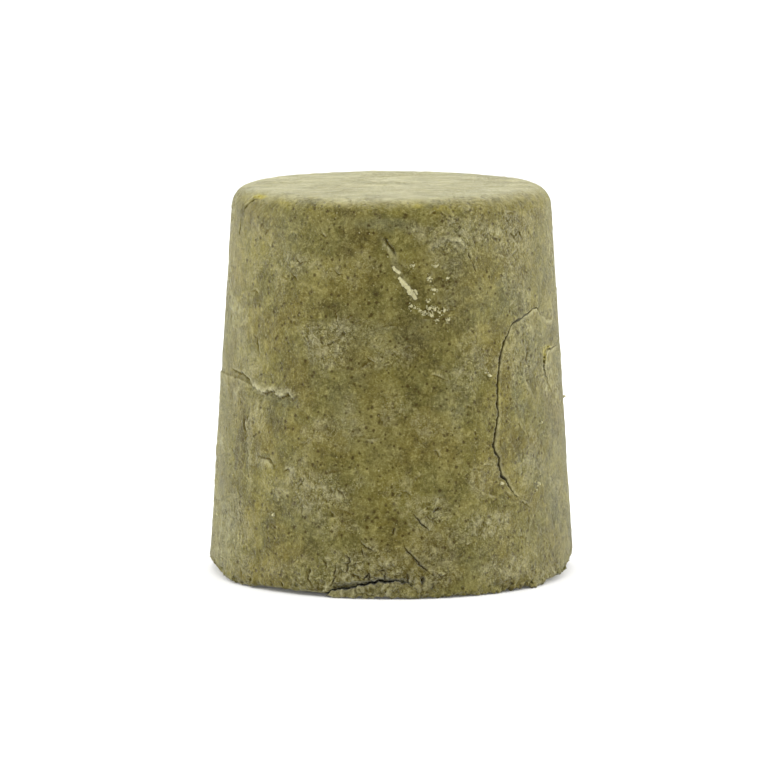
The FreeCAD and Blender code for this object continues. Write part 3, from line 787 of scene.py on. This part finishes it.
def refine(turn, rise, triangles):
    """Splits edges in rough patches and in the fine places; returns the finer turns, rises and triangles."""
    skin = Skin(turn, rise)
    lay_patches(skin)
    rough = np.where(np.abs(skin.turn) < FRONT_HALF, skin.tints["rough"], 0)
    mesh = bpy.data.meshes.new("grid")
    mesh.from_pydata(skin.smooth.tolist(), [], triangles)
    for name, values in (("rise", rise), ("rough", rough)):
        mesh.attributes.new(name, "FLOAT", "POINT").data.foreach_set("value", values.astype(np.float32))
    grid = bmesh.new()
    grid.from_mesh(mesh)
    rise_layer, rough_layer = grid.verts.layers.float["rise"], grid.verts.layers.float["rough"]

    def split(edges):
        bmesh.ops.subdivide_edges(grid, edges=edges, cuts=1)
        bmesh.ops.triangulate(grid, faces=[face for face in grid.faces if len(face.verts) > 3])

    split([edge for edge in grid.edges if min(vert[rough_layer] for vert in edge.verts) > ROUGH_LIMIT])
    for tree, reach, longest in fine_places():
        chosen = []
        for edge in grid.edges:
            a, b = edge.verts
            middle = (a.co + b.co) / 2
            turned = math.atan2(middle.x, -middle.y) * FLAT_RADIUS
            spot = Vector((turned, (a[rise_layer] + b[rise_layer]) / 2, 0))
            if edge.calc_length() > longest and tree.find(spot)[2] < reach:
                chosen.append(edge)
        split(chosen)
    grid.verts.ensure_lookup_table()
    places = np.array([(*vert.co, vert[rise_layer]) for vert in grid.verts])
    turn = np.degrees(np.arctan2(places[:, 0], -places[:, 1]))
    corners = [[vert.index for vert in face.verts] for face in grid.faces]
    grid.free()
    bpy.data.meshes.remove(mesh)
    return turn, places[:, 3], corners


def tightness(gap):
    """1 where a split piece is still pressed tight against the body, and 0 where the crack is open."""
    return 1 - ramp(gap, 0.015, 0.06)


def sink_seat(skin, points, line, seat, dark=0.85):
    """Sinks the skin inside a split piece's outline to the seat that the piece lies on, and paints the seat
    dark as shade.
    """
    at, _, left, spot = line.near(skin.flat, 1.2)
    share = line.inside(skin.flat).astype(float)
    shade = share.copy()
    tight = tightness(line.gap[spot])
    start = -0.5 * line.gap[spot] - 0.02 + 0.06 * tight
    share[at] = ramp(left, start, start + 0.07)
    shade[at] = share[at] + (1 - tight) * (ramp(share[at], 0.0, 0.3) - share[at])
    deep = np.nonzero(share > 0)[0]
    radius = np.hypot(points[deep, 0], points[deep, 1])
    sunk = seat(skin.turn[deep]) - SEAT_CLEARANCE
    points[deep] = at_radius(points[deep], radius + (sunk - radius) * share[deep])
    # Painted shade on the seat, in the gap under the piece.
    skin.tint("dark", deep, dark * shade[deep])


def open_flap_room(skin):
    """Hollows the foot's front edge: the wall turns in under a lip, and the room behind the flap is deep; the
    wall under the lip is painted grey and dark as shadow.
    """
    at, away, left, spot = FLAP_LIP.near(skin.flat, 2.6)
    under = left > -0.05
    ends = FLAP_LIP.ends(0.0, 2.5)[spot]
    slope = np.where(under, ends * 0.75 * ramp(away, 0.0, 0.6), 0)
    skin.lift[at] -= slope
    # Painted shadow under the lip: grey, and dark further in.
    skin.tint("grey", at, 0.9 * ramp(slope, 0.0, 0.25))
    skin.tint("dark", at, 0.35 * ramp(slope, 0.05, 0.6))


def at_turns(places, turns):
    """The amounts at those turns, from places that each are a turn and an amount."""
    return np.interp(turns, *np.array(places).T)


def wear_foot(skin, points):
    """Wears the foot's edge up and in, unevenly."""
    around = skin.smooth * (1, 1, 0)
    wear = at_turns(FOOT_WEAR, skin.turn) * (1 + 0.35 * smooth_noise(around, 0.9, 70))
    wear += 0.34 * at_turns(FOOT_RAGGED, skin.turn) * np.abs(smooth_noise(around, 0.5, 71))
    wear = np.clip(wear, 0.02, 2.0)
    inward = FOOT_EDGE_RISE - skin.rise
    underside = 1 - ramp(inward, 0.2, 2.2)
    wall = 1 - ramp(points[:, 2] / (1.1 + 1.2 * wear), 0.0, 1.0)
    share = np.where(inward > 0, underside, wall)
    points[:, 2] += wear * share
    return at_radius(points, np.hypot(points[:, 0], points[:, 1]) - 0.4 * wear * share)


def draw_in_notch(skin, points):
    """Draws the underside in behind the flap, so that it ends where the flap's room does."""
    under = skin.rise < FOOT_EDGE_RISE
    flap_turns = np.degrees(FLAP_LINE.points[:, 0] / FLAT_RADIUS)
    low, high = flap_turns.min(), flap_turns.max()
    within = ramp(skin.turn, low - 0.3, low + 0.3) * (1 - ramp(skin.turn, high - 0.3, high + 0.3))
    limit = FLAP_SEAT - SEAT_CLEARANCE
    start = limit - 2.0
    share = (skin.radius - start) / (FOOT_RADIUS - start)
    drawn = np.where(share > 0, start + share * (limit - start), skin.radius)
    radius = np.hypot(points[:, 0], points[:, 1])
    moved = at_radius(points, radius + (drawn - radius) * within)
    points[under] = moved[under]


def paste_object(name, points, faces, tints):
    """A smooth-shaded mesh object in metres, clear of the floor, with its tints as attributes."""
    mesh = bpy.data.meshes.new(name)
    points[:, 2] = np.maximum(points[:, 2], FLOOR_CLEARANCE)
    mesh.from_pydata((points * MM).tolist(), [], faces)
    for tint, values in tints.items():
        mesh.attributes.new(tint, "FLOAT", "POINT").data.foreach_set("value", values.astype(np.float32))
    mesh.polygons.foreach_set("use_smooth", [True] * len(mesh.polygons))
    mesh.update()
    thing = bpy.data.objects.new(name, mesh)
    bpy.context.scene.collection.objects.link(thing)
    return thing


def make_body():
    """The cake's body, with the seats that the split pieces lie on."""
    turn, rise, triangles = refine(*body_grid())
    skin = Skin(turn, rise)
    shape_skin(skin)
    open_flap_room(skin)
    ragged = at_turns(FOOT_RAGGED, skin.turn) * (1 - ramp(skin.rise, 0.2, 2.0))
    skin.lift += 0.26 * ragged * layered_noise(skin.smooth, 0.85, 3, 72)
    skin.lift[skin.rise < FOOT_EDGE_RISE] = 0
    points = wear_foot(skin, skin.points())
    sink_seat(skin, points, FLAKE_LINE, flake_seat)
    sink_seat(skin, points, CHIP_LINE, chip_seat)
    sink_seat(skin, points, FLAP_LINE, flap_seat, dark=0.7)
    draw_in_notch(skin, points)
    return paste_object("cake_skin", points, triangles, skin.tints)


# ---------------------------------------------------------------- split pieces

def flake_seat(turn):
    """How far from the axis the flake's flat back is, at those turns."""
    return FLAKE_SEAT / np.cos(np.radians(turn - FLAKE_TURN))


def chip_seat(turn):
    """How far from the axis the chip's flat back is, at those turns."""
    return CHIP_SEAT / np.cos(np.radians(turn - CHIP_TURN))


def flap_seat(turn):
    """How far from the axis the flap's round back is, at those turns."""
    return np.full(len(turn), FLAP_SEAT)


def cover(line, step):
    """Flat points and triangles inside an outline, held back from it by half of its open crack."""
    rim = line.points + line.left * (line.gap / 2 - RIM_OVERLAP * tightness(line.gap))[:, None]
    inner = rim + line.left * 0.09
    low, high = rim.min(axis=0), rim.max(axis=0)
    across, up = np.meshgrid(np.arange(low[0], high[0], step), np.arange(low[1], high[1], step * 0.87))
    across = across + step / 2 * (np.arange(len(across)) % 2)[:, None]
    grid = np.column_stack((across.ravel(), up.ravel()))
    at, _, left, _ = line.near(grid, 1.0)
    keep = line.inside(grid)
    keep[at[left < 0.2 + line.gap.max() / 2]] = False
    spots = np.vstack((rim, inner[::2], grid[keep]))
    border = list(range(len(rim)))
    made = geometry.delaunay_2d_cdt([Vector(spot) for spot in spots], [], [border], 1, 1e-6)
    return np.array(made[0]), [list(face) for face in made[2]]


def border_edges(faces):
    """The edges that only one face has, in that face's direction."""
    edges = dict.fromkeys((a, b) for face in faces for a, b in zip(face, face[1:] + face[:1]))
    return [(a, b) for a, b in edges if (b, a) not in edges]


def turn_outward(thing):
    """Makes a closed mesh's faces all look outward."""
    mesh = bmesh.new()
    mesh.from_mesh(thing.data)
    bmesh.ops.recalc_face_normals(mesh, faces=mesh.faces)
    mesh.to_mesh(thing.data)
    mesh.free()


def shape_slab_skin(skin, line, on_rim, proud, crumble):
    """The cake's own skin, with its edge rounded down into the open crack and painted pale there as a
    highlight.
    """
    shape_skin(skin)
    skin.lift += proud
    if crumble:
        skin.lift += crumble * layered_noise(skin.smooth, 1.3, 3, 90)
    at, away, _, spot = line.near(skin.flat, 0.5)
    tight = tightness(line.gap[spot])
    skin.lift[at] += 0.014 * tight * (1 - ramp(away, 0.2, 0.5))
    # Painted highlight on the rounded edge by the open crack.
    skin.tint("pale", at, 0.45 * (1 - tight) * (1 - ramp(away, 0.1, 0.8)))
    rim_gap = np.array([line.gap[line.tree.find((x, y, 0))[1]] for x, y in skin.flat[on_rim]])
    skin.lift[on_rim] -= 0.25 * rim_gap * (1 - tightness(rim_gap))


def slab(name, line, seat, proud=0.0, step=0.19, crumble=0.0):
    """A closed piece inside an outline: skin in front, a lining round its rim, its back on the seat; lining
    and back are painted dark as shade.
    """
    flat, faces = cover(line, step)
    count = len(flat)
    edges = border_edges(faces)
    on_rim = np.array(sorted({a for edge in edges for a in edge}))
    skin = Skin(np.degrees(flat[:, 0] / FLAT_RADIUS), flat[:, 1])
    shape_slab_skin(skin, line, on_rim, proud, crumble)
    front = skin.points()
    lining = at_radius(front[on_rim], np.hypot(front[on_rim, 0], front[on_rim, 1]) - LINING_DEPTH)
    points = np.vstack((front, at_radius(skin.smooth, seat(skin.turn)), lining))
    below = {corner: 2 * count + number for number, corner in enumerate(on_rim)}
    sides = [(b, a, below[a], below[b]) for a, b in edges]
    sides += [(below[b], below[a], a + count, b + count) for a, b in edges]
    backs = [[corner + count for corner in reversed(face)] for face in faces]
    hidden = count + len(on_rim)
    # The lining and the back are painted dark, as shade.
    tints = {tint: np.concatenate((values, np.full(hidden, float(tint == "dark"))))
             for tint, values in skin.tints.items()}
    thing = paste_object(name, points, faces + backs + sides, tints)
    turn_outward(thing)
    return thing


# ---------------------------------------------------------------- crumbs and curl

def islands(node):
    """The separate solids of a CAD node: their points, in millimetres."""
    mesh = bmesh.new()
    mesh.from_mesh(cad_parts[node].data)
    bmesh.ops.remove_doubles(mesh, verts=mesh.verts, dist=1e-6)
    seen, found = set(), []
    for start in mesh.verts:
        if start in seen:
            continue
        seen.add(start)
        group, queue = [], [start]
        while queue:
            vert = queue.pop()
            group.append(vert.co / MM)
            for edge in vert.link_edges:
                other = edge.other_vert(vert)
                if other not in seen:
                    seen.add(other)
                    queue.append(other)
        found.append(np.array(group))
    mesh.free()
    return sorted(found, key=lambda points: tuple(points.mean(axis=0)))


def random_way(rng):
    """A vector that points any way."""
    return Vector([rng.gauss(0, 1) for _ in range(3)])


def nugget(centre, size, seed, rng):
    """An irregular grain of paste: a lumpy ball, flattened and turned at random."""
    ball = bmesh.new()
    bmesh.ops.create_icosphere(ball, subdivisions=3 if size > 0.3 else 2, radius=1.0)
    spots = np.array([vert.co for vert in ball.verts])
    faces = [[vert.index for vert in face.verts] for face in ball.faces]
    ball.free()
    lumps = 0.55 * smooth_noise(spots, 0.9, seed) + 0.3 * smooth_noise(spots, 0.4, seed + 1)
    spots = spots * (1 + lumps)[:, None] * (1.0, rng.uniform(0.6, 0.95), GRAIN_SQUASH * rng.uniform(0.6, 1.0))
    turned = Matrix.Rotation(rng.uniform(0, 6.28), 3, random_way(rng))
    return centre + spots @ np.array(turned) * size / 2, faces


def skin_spots(centres):
    """The places on the finished skin nearest to points beside it, and the way out of it there."""
    turn = np.degrees(np.arctan2(centres[:, 0], -centres[:, 1]))
    skin = Skin(turn, np.interp(centres[:, 2], OUTLINE[2], OUTLINE[0]))
    shape_skin(skin)
    return wear_foot(skin, skin.points()), skin.normal


def join(meshes):
    """One mesh of several that are each points and faces."""
    points, faces, total = [], [], 0
    for spots, corners in meshes:
        points.append(spots)
        faces += [[corner + total for corner in face] for face in corners]
        total += len(spots)
    return np.vstack(points), faces


def make_crumbs(name, node, seed, grow, pale, bits, out=0.22):
    """Irregular grains where the CAD part has its crumbs, each with some smaller bits round it."""
    rng = random.Random(seed)
    centres, sizes = [], []
    for solid in islands(node):
        centre = (solid.min(axis=0) + solid.max(axis=0)) / 2
        size = grow * np.linalg.norm(solid.max(axis=0) - solid.min(axis=0)) / math.sqrt(3)
        centres.append(centre)
        sizes.append(size * rng.uniform(0.85, 1.15))
        for _ in range(rng.randint(bits - 1, bits + 1) if bits else 0):
            side = random_way(rng).normalized()
            centres.append(centre + np.array(side) * size * rng.uniform(0.5, 1.3))
            sizes.append(size * rng.uniform(0.2, 0.5))
    centres = np.array(centres)
    centres[:, 2] = np.maximum(centres[:, 2], 0.2)
    spots, normals = skin_spots(centres)
    points, faces = join([nugget(spot + normal * size * out, size, seed + 3 * number, rng)
                          for number, (spot, normal, size) in enumerate(zip(spots, normals, sizes))])
    return paste_object(name, points, faces, {"pale": np.full(len(points), pale)})


def roll(solid, number):
    """A rough roll of paste along one of the CAD part's rolls: its points and faces."""
    centre = solid.mean(axis=0)
    along = np.linalg.svd(solid - centre, full_matrices=False)[2][0]
    reach = (solid - centre) @ along
    thick = np.linalg.norm((solid - centre) - np.outer(reach, along), axis=1).max()
    out = centre * (1, 1, 0) / np.linalg.norm(centre[:2])
    side = np.cross(along, out)
    rings = max(10, int((reach.max() - reach.min()) / 0.04))
    angles = np.linspace(0, 2 * math.pi, CURL_SIDES + 1)[:-1]
    circle = np.outer(np.cos(angles), out) + np.outer(np.sin(angles), side)
    points, faces = [], []
    for ring in range(rings + 1):
        share = ring / rings
        spot = centre + along * (reach.min() + share * (reach.max() - reach.min()))
        spot = spot + side * 0.12 * math.sin(5 * share + number) * thick
        girth = thick * (0.25 + 0.5 * math.sin(math.pi * min(max(share, 0.03), 0.97)) ** 0.5)
        spots = spot + circle * girth
        lumps = 0.4 * smooth_noise(spots, 0.55, 80 + number) + 0.65 * layered_noise(spots, 0.28, 3, 85)
        points.append(spots + circle * (girth * lumps)[:, None])
    for ring in range(rings):
        for k in range(CURL_SIDES):
            a, b = ring * CURL_SIDES + k, ring * CURL_SIDES + (k + 1) % CURL_SIDES
            faces.append((a, b, b + CURL_SIDES, a + CURL_SIDES))
    faces.append(list(reversed(range(CURL_SIDES))))
    faces.append([rings * CURL_SIDES + k for k in range(CURL_SIDES)])
    return np.vstack(points), faces


def make_curl():
    """The curl that the scrape has pushed up: rough rolls of pale paste."""
    points, faces = join([roll(solid, number) for number, solid in enumerate(islands("scraped_curl"))])
    return paste_object("scrape_curl", points, faces, {"pale": np.full(len(points), 1.0)})


# ---------------------------------------------------------------- material

def srgb(red, green, blue):
    """A colour given in the usual 0 to 255 steps, as linear light."""
    linear = [((c / 255 + 0.055) / 1.055) ** 2.4 if c > 10 else c / 255 / 12.92 for c in (red, green, blue)]
    return (*linear, 1)


class Nodes:
    """Short calls for a material's nodes."""

    def __init__(self, material):
        material.use_nodes = True
        self.tree = material.node_tree
        self.tree.nodes.clear()

    def add(self, kind, **settings):
        """A new node, with its own settings or its sockets' values; _ stands for a space in their names."""
        node = self.tree.nodes.new(kind)
        for name, value in settings.items():
            if hasattr(node, name):
                setattr(node, name, value)
            else:
                node.inputs[name.replace("_", " ")].default_value = value
        return node

    def link(self, source, target):
        self.tree.links.new(source, target)

    def math(self, operation, first, second=None, third=None):
        node = self.add("ShaderNodeMath", operation=operation)
        for socket, value in zip(node.inputs, (first, second, third)):
            self.feed(socket, value)
        return node.outputs[0]

    def feed(self, socket, value):
        """Links or sets a socket."""
        if value is None:
            return
        if isinstance(value, bpy.types.NodeSocket):
            self.link(value, socket)
        else:
            socket.default_value = value

    def noise(self, place, size, detail=3.0, roughness=0.55, distortion=0.0):
        node = self.add("ShaderNodeTexNoise", Scale=1 / size, Detail=detail, Roughness=roughness,
                        Distortion=distortion)
        self.link(place, node.inputs["Vector"])
        return node.outputs[0]

    def spread(self, value, low, high):
        """Stretches low..high to 0..1, smoothly."""
        node = self.add("ShaderNodeMapRange", interpolation_type="SMOOTHSTEP")
        self.feed(node.inputs["Value"], value)
        node.inputs["From Min"].default_value = low
        node.inputs["From Max"].default_value = high
        return node.outputs[0]

    def paint(self, colour, shade, *masks):
        """Lays a shade over a colour, as thickly as the product of the masks."""
        share = masks[0]
        for mask in masks[1:]:
            share = self.math("MULTIPLY", share, mask)
        node = self.add("ShaderNodeMix", data_type="RGBA")
        self.feed(node.inputs[0], share)
        self.feed(node.inputs[6], colour)
        self.feed(node.inputs[7], shade)
        return node.outputs[2]

    def attribute(self, name):
        return self.add("ShaderNodeAttribute", attribute_name=name).outputs["Fac"]

    def dots(self, place, spacing, low, high, share, uneven):
        """Soft-edged dots in a loose scatter; share of the cells have one, and uneven bends their edges."""
        cells = self.add("ShaderNodeTexVoronoi", Scale=1 / spacing, Randomness=1.0)
        self.link(place, cells.inputs["Vector"])
        split = self.add("ShaderNodeSeparateColor")
        self.link(cells.outputs["Color"], split.inputs[0])
        there = self.math("LESS_THAN", split.outputs[0], share)
        size = self.math("MULTIPLY_ADD", split.outputs[1], 0.6, 0.7)
        away = self.math("DIVIDE", cells.outputs["Distance"], size)
        away = self.math("MULTIPLY_ADD", uneven, 0.35, self.math("SUBTRACT", away, 0.175))
        inside = self.math("SUBTRACT", 1.0, self.spread(away, low, high))
        return self.math("MULTIPLY", inside, there)


def paste_fields(nodes):
    """The noises and dots that the paste's colour and relief are made of, measured in millimetres."""
    scaled = nodes.add("ShaderNodeVectorMath", operation="SCALE")
    nodes.link(nodes.add("ShaderNodeTexCoord").outputs["Object"], scaled.inputs[0])
    scaled.inputs["Scale"].default_value = 1 / MM
    place = scaled.outputs[0]
    field = SimpleNamespace(place=place, rough=nodes.attribute("rough"))
    field.swell = nodes.noise(place, 6.0, 3, 0.5, 0.4)
    field.cloud = nodes.noise(place, 3.2, 3, 0.6, 0.6)
    field.mottle = nodes.noise(place, 1.5, 6, 0.95, 0.5)
    field.grain = nodes.noise(place, 0.36, 3, 0.8, 0.3)
    field.flake = nodes.noise(place, 0.5, 2, 0.6, 1.5)
    field.small = nodes.dots(place, 0.42, 0.06, 0.34, 0.5, field.grain)
    field.large = nodes.dots(place, 0.8, 0.09, 0.33, 0.8, field.grain)
    # Pale dots for painted glints.
    field.glint = nodes.dots(place, 0.55, 0.02, 0.16, 0.3, field.grain)
    return field


def base_colour(nodes, field):
    return nodes.paint(srgb(98, 93, 41), srgb(103, 93, 37), nodes.spread(field.swell, 0.36, 0.64))


def paint_patches(nodes, colour, uneven):
    """The skin's brown, grey and yellow patches."""
    colour = nodes.paint(colour, srgb(64, 54, 12), nodes.attribute("brown"), uneven, 0.85)
    colour = nodes.paint(colour, srgb(106, 105, 72), nodes.attribute("grey"), uneven, 0.85)
    return nodes.paint(colour, srgb(126, 117, 44), nodes.attribute("yellow"), uneven, 0.8)


def paint_speckles(nodes, field, colour):
    """Clouds, mottling, grain, threads of herb and dots, and pale dots as painted glints."""
    colour = nodes.paint(colour, srgb(139, 131, 74), nodes.spread(field.cloud, 0.48, 0.7), 0.5)
    colour = nodes.paint(colour, srgb(64, 56, 13), nodes.spread(field.cloud, 0.5, 0.3), 0.55)
    colour = nodes.paint(colour, srgb(158, 150, 90), nodes.spread(field.mottle, 0.5, 0.7), 0.8)
    colour = nodes.paint(colour, srgb(52, 44, 7), nodes.spread(field.mottle, 0.5, 0.3), 0.85)
    grainy = nodes.math("MULTIPLY_ADD", field.rough, 0.5, 0.45)
    colour = nodes.paint(colour, srgb(172, 165, 106), nodes.spread(field.grain, 0.5, 0.7), grainy)
    colour = nodes.paint(colour, srgb(52, 45, 10), nodes.spread(field.grain, 0.47, 0.3), 0.6)
    ridge = nodes.math("ABSOLUTE", nodes.math("SUBTRACT", field.flake, 0.5))
    thready = nodes.math("MULTIPLY_ADD", field.rough, 0.6, 0.06)
    colour = nodes.paint(colour, srgb(190, 185, 138), nodes.spread(ridge, 0.04, 0.005), thready)
    colour = nodes.paint(colour, srgb(66, 54, 2), field.small, 0.45)
    colour = nodes.paint(colour, srgb(60, 46, 0), field.large, 0.85)
    # Painted glints: pale dots that stand in for tiny highlights.
    return nodes.paint(colour, srgb(192, 187, 142), field.glint, 0.7)


def paint_edges(nodes, field, colour, uneven):
    """The skin's pale paste, fresh and as painted highlights, its bright fresh edges, and painted shade in
    its cracks, hollows and crevices and under its ledges.
    """
    speckle = nodes.math("MULTIPLY_ADD", nodes.spread(field.mottle, 0.36, 0.6), 0.3, 0.24)
    speckle = nodes.math("MULTIPLY_ADD", nodes.spread(field.grain, 0.35, 0.6), 0.3, speckle)
    # Pale tint: fresh paste, and painted highlights on lips, rims, grain, lumps and the top.
    colour = nodes.paint(colour, srgb(198, 193, 152), nodes.attribute("pale"), speckle)
    colour = nodes.paint(colour, srgb(176, 164, 62), nodes.attribute("gold"), uneven, 0.8)
    # Dark tint: painted shade.
    return nodes.paint(colour, srgb(86, 71, 0), nodes.attribute("dark"), 0.92)


def paste_relief(nodes, field):
    """The fine bumps: the mottling and grain stand up, and the large dots lie a little deeper."""
    grainy = nodes.math("MULTIPLY_ADD", field.rough, 0.8, 0.6)
    height = nodes.math("ADD", field.mottle, nodes.math("MULTIPLY", field.grain, grainy))
    height = nodes.math("SUBTRACT", height, nodes.math("MULTIPLY", field.large, 0.15))
    flaky = nodes.math("MULTIPLY", field.flake, field.rough)
    height = nodes.math("ADD", height, nodes.math("MULTIPLY", flaky, 0.8))
    bump = nodes.add("ShaderNodeBump", Strength=1.0, Distance=0.26 * MM)
    nodes.link(height, bump.inputs["Height"])
    return bump.outputs[0]


def paste_surface(nodes, field, colour):
    """A dull surface with a soft sheen, as of dry fine powder."""
    shader = nodes.add("ShaderNodeBsdfPrincipled")
    shader.inputs["Specular IOR Level"].default_value = 0.12
    shader.inputs["Sheen Weight"].default_value = 0.5
    shader.inputs["Sheen Roughness"].default_value = 0.2
    shader.inputs["Sheen Tint"].default_value = (0.97, 1, 0.88, 1)
    nodes.link(colour, shader.inputs["Base Color"])
    roughness = nodes.add("ShaderNodeMapRange")
    nodes.link(field.mottle, roughness.inputs["Value"])
    roughness.inputs["To Min"].default_value = 0.46
    roughness.inputs["To Max"].default_value = 0.68
    nodes.link(roughness.outputs[0], shader.inputs["Roughness"])
    nodes.link(paste_relief(nodes, field), shader.inputs["Normal"])
    output = nodes.add("ShaderNodeOutputMaterial")
    nodes.link(shader.outputs[0], output.inputs["Surface"])


def cake_paste():
    """Pressed herb paste, as on the cake's skin."""
    material = bpy.data.materials.new("cake_paste")
    nodes = Nodes(material)
    field = paste_fields(nodes)
    uneven = nodes.spread(nodes.noise(field.place, 1.2, 4, 0.7), 0.25, 0.55)
    colour = paint_patches(nodes, base_colour(nodes, field), uneven)
    colour = paint_speckles(nodes, field, colour)
    colour = paint_edges(nodes, field, colour, uneven)
    paste_surface(nodes, field, colour)
    return material


def pale_paste():
    """Newly broken paste, which is much paler."""
    material = bpy.data.materials.new("pale_paste")
    nodes = Nodes(material)
    field = paste_fields(nodes)
    colour = paint_speckles(nodes, field, base_colour(nodes, field))
    colour = nodes.paint(colour, srgb(222, 216, 168), 0.75)
    paste_surface(nodes, field, colour)
    return material


# ---------------------------------------------------------------- stage

def area_light(name, place, aim, width, height, power):
    """A white soft light that looks from its place at its aim."""
    light = bpy.data.lights.new(name, "AREA")
    light.shape = "RECTANGLE"
    light.size, light.size_y = width, height
    light.energy = power
    thing = bpy.data.objects.new(name, light)
    thing.location = place
    thing.rotation_euler = (Vector(aim) - Vector(place)).to_track_quat("-Z", "Y").to_euler()
    bpy.context.scene.collection.objects.link(thing)


def floor_white():
    """A white floor that glows a little, so that it doesn't darken away from the lights."""
    material = bpy.data.materials.new("floor_white")
    nodes = Nodes(material)
    shader = nodes.add("ShaderNodeBsdfPrincipled")
    shader.inputs["Base Color"].default_value = (0.82, 0.82, 0.82, 1)
    shader.inputs["Roughness"].default_value = 0.8
    shader.inputs["Emission Color"].default_value = (1, 1, 1, 1)
    shader.inputs["Emission Strength"].default_value = 0.07
    nodes.link(shader.outputs[0], nodes.add("ShaderNodeOutputMaterial").inputs["Surface"])
    return material


def make_floor():
    size = FLOOR_REACH
    mesh = bpy.data.meshes.new("floor")
    corners = [(-size, -size, 0), (size, -size, 0), (size, size, 0), (-size, size, 0)]
    mesh.from_pydata(corners, [], [(0, 1, 2, 3)])
    mesh.materials.append(floor_white())
    floor = bpy.data.objects.new("floor", mesh)
    bpy.context.scene.collection.objects.link(floor)


def make_lights():
    """A white sky, a large light overhead and a small one on either side."""
    world = bpy.data.worlds.new("studio")
    world.use_nodes = True
    sky = world.node_tree.nodes["Background"]
    sky.inputs["Color"].default_value = (1, 1, 1, 1)
    sky.inputs["Strength"].default_value = SKY_STRENGTH
    bpy.context.scene.world = world
    middle = (0, 0, 0.5 * HEIGHT * MM)
    area_light("top_light", (0, 0.4, 1.4), (0, 0.4, 0), 2.4, 2.4, 26.0)
    area_light("left_light", (-0.5, 0.03, 0.2), middle, 0.4, 0.5, 3.0)
    area_light("right_light", (0.5, 0.03, 0.2), middle, 0.4, 0.5, 3.0)
    bpy.context.scene.view_settings.view_transform = "Standard"


def make_camera():
    """A long lens in front, a little above the cake's middle."""
    camera = bpy.data.cameras.new("camera")
    camera.lens = CAMERA_LENS
    camera.sensor_width = CAMERA_SENSOR
    camera.clip_start, camera.clip_end = 0.01, 20
    thing = bpy.data.objects.new("camera", camera)
    elevation = math.radians(CAMERA_ELEVATION)
    middle = Vector((0, 0, 0.5 * HEIGHT * MM))
    thing.location = middle + CAMERA_DISTANCE * Vector((0, -math.cos(elevation), math.sin(elevation)))
    aim = middle + Vector(CAMERA_AIM) * MM
    thing.rotation_euler = (aim - thing.location).to_track_quat("-Z", "Y").to_euler()
    bpy.context.scene.collection.objects.link(thing)
    bpy.context.scene.camera = thing


# ---------------------------------------------------------------- the object

def fit(thing, node, material):
    """Puts a piece in its CAD node's place."""
    thing.data.materials.clear()
    thing.data.materials.append(material)
    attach(thing, BODY)
    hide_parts(node)


def make_cake():
    """All the pieces, each in its CAD node's place."""
    skin_paste = cake_paste()
    fresh_paste = pale_paste()
    fit(make_body(), "cake_body", skin_paste)
    flake = slab("side_flake_skin", FLAKE_LINE, flake_seat, proud=0.0)
    fit(flake, "side_flake", skin_paste)
    chip = slab("edge_chip_skin", CHIP_LINE, chip_seat, proud=0.02)
    fit(chip, "edge_chip", skin_paste)
    flap = slab("foot_flap", FLAP_LINE, flap_seat, proud=-0.02, step=0.14, crumble=0.2)
    fit(flap, "base_flap", skin_paste)
    fit(make_curl(), "scraped_curl", fresh_paste)
    grains = make_crumbs("scrape_grains", "scrape_crumbs", 200, grow=0.82, pale=1.0, bits=10)
    fit(grains, "scrape_crumbs", fresh_paste)
    grains = make_crumbs("wall_grains", "wall_crumbs", 300, grow=0.8, pale=1.0, bits=2)
    fit(grains, "wall_crumbs", fresh_paste)
    grains = make_crumbs("foot_grains", "rim_crumbs", 400, grow=0.7, pale=0.0, bits=2, out=0.08)
    fit(grains, "rim_crumbs", skin_paste)


make_cake()
make_floor()
make_lights()
make_camera()
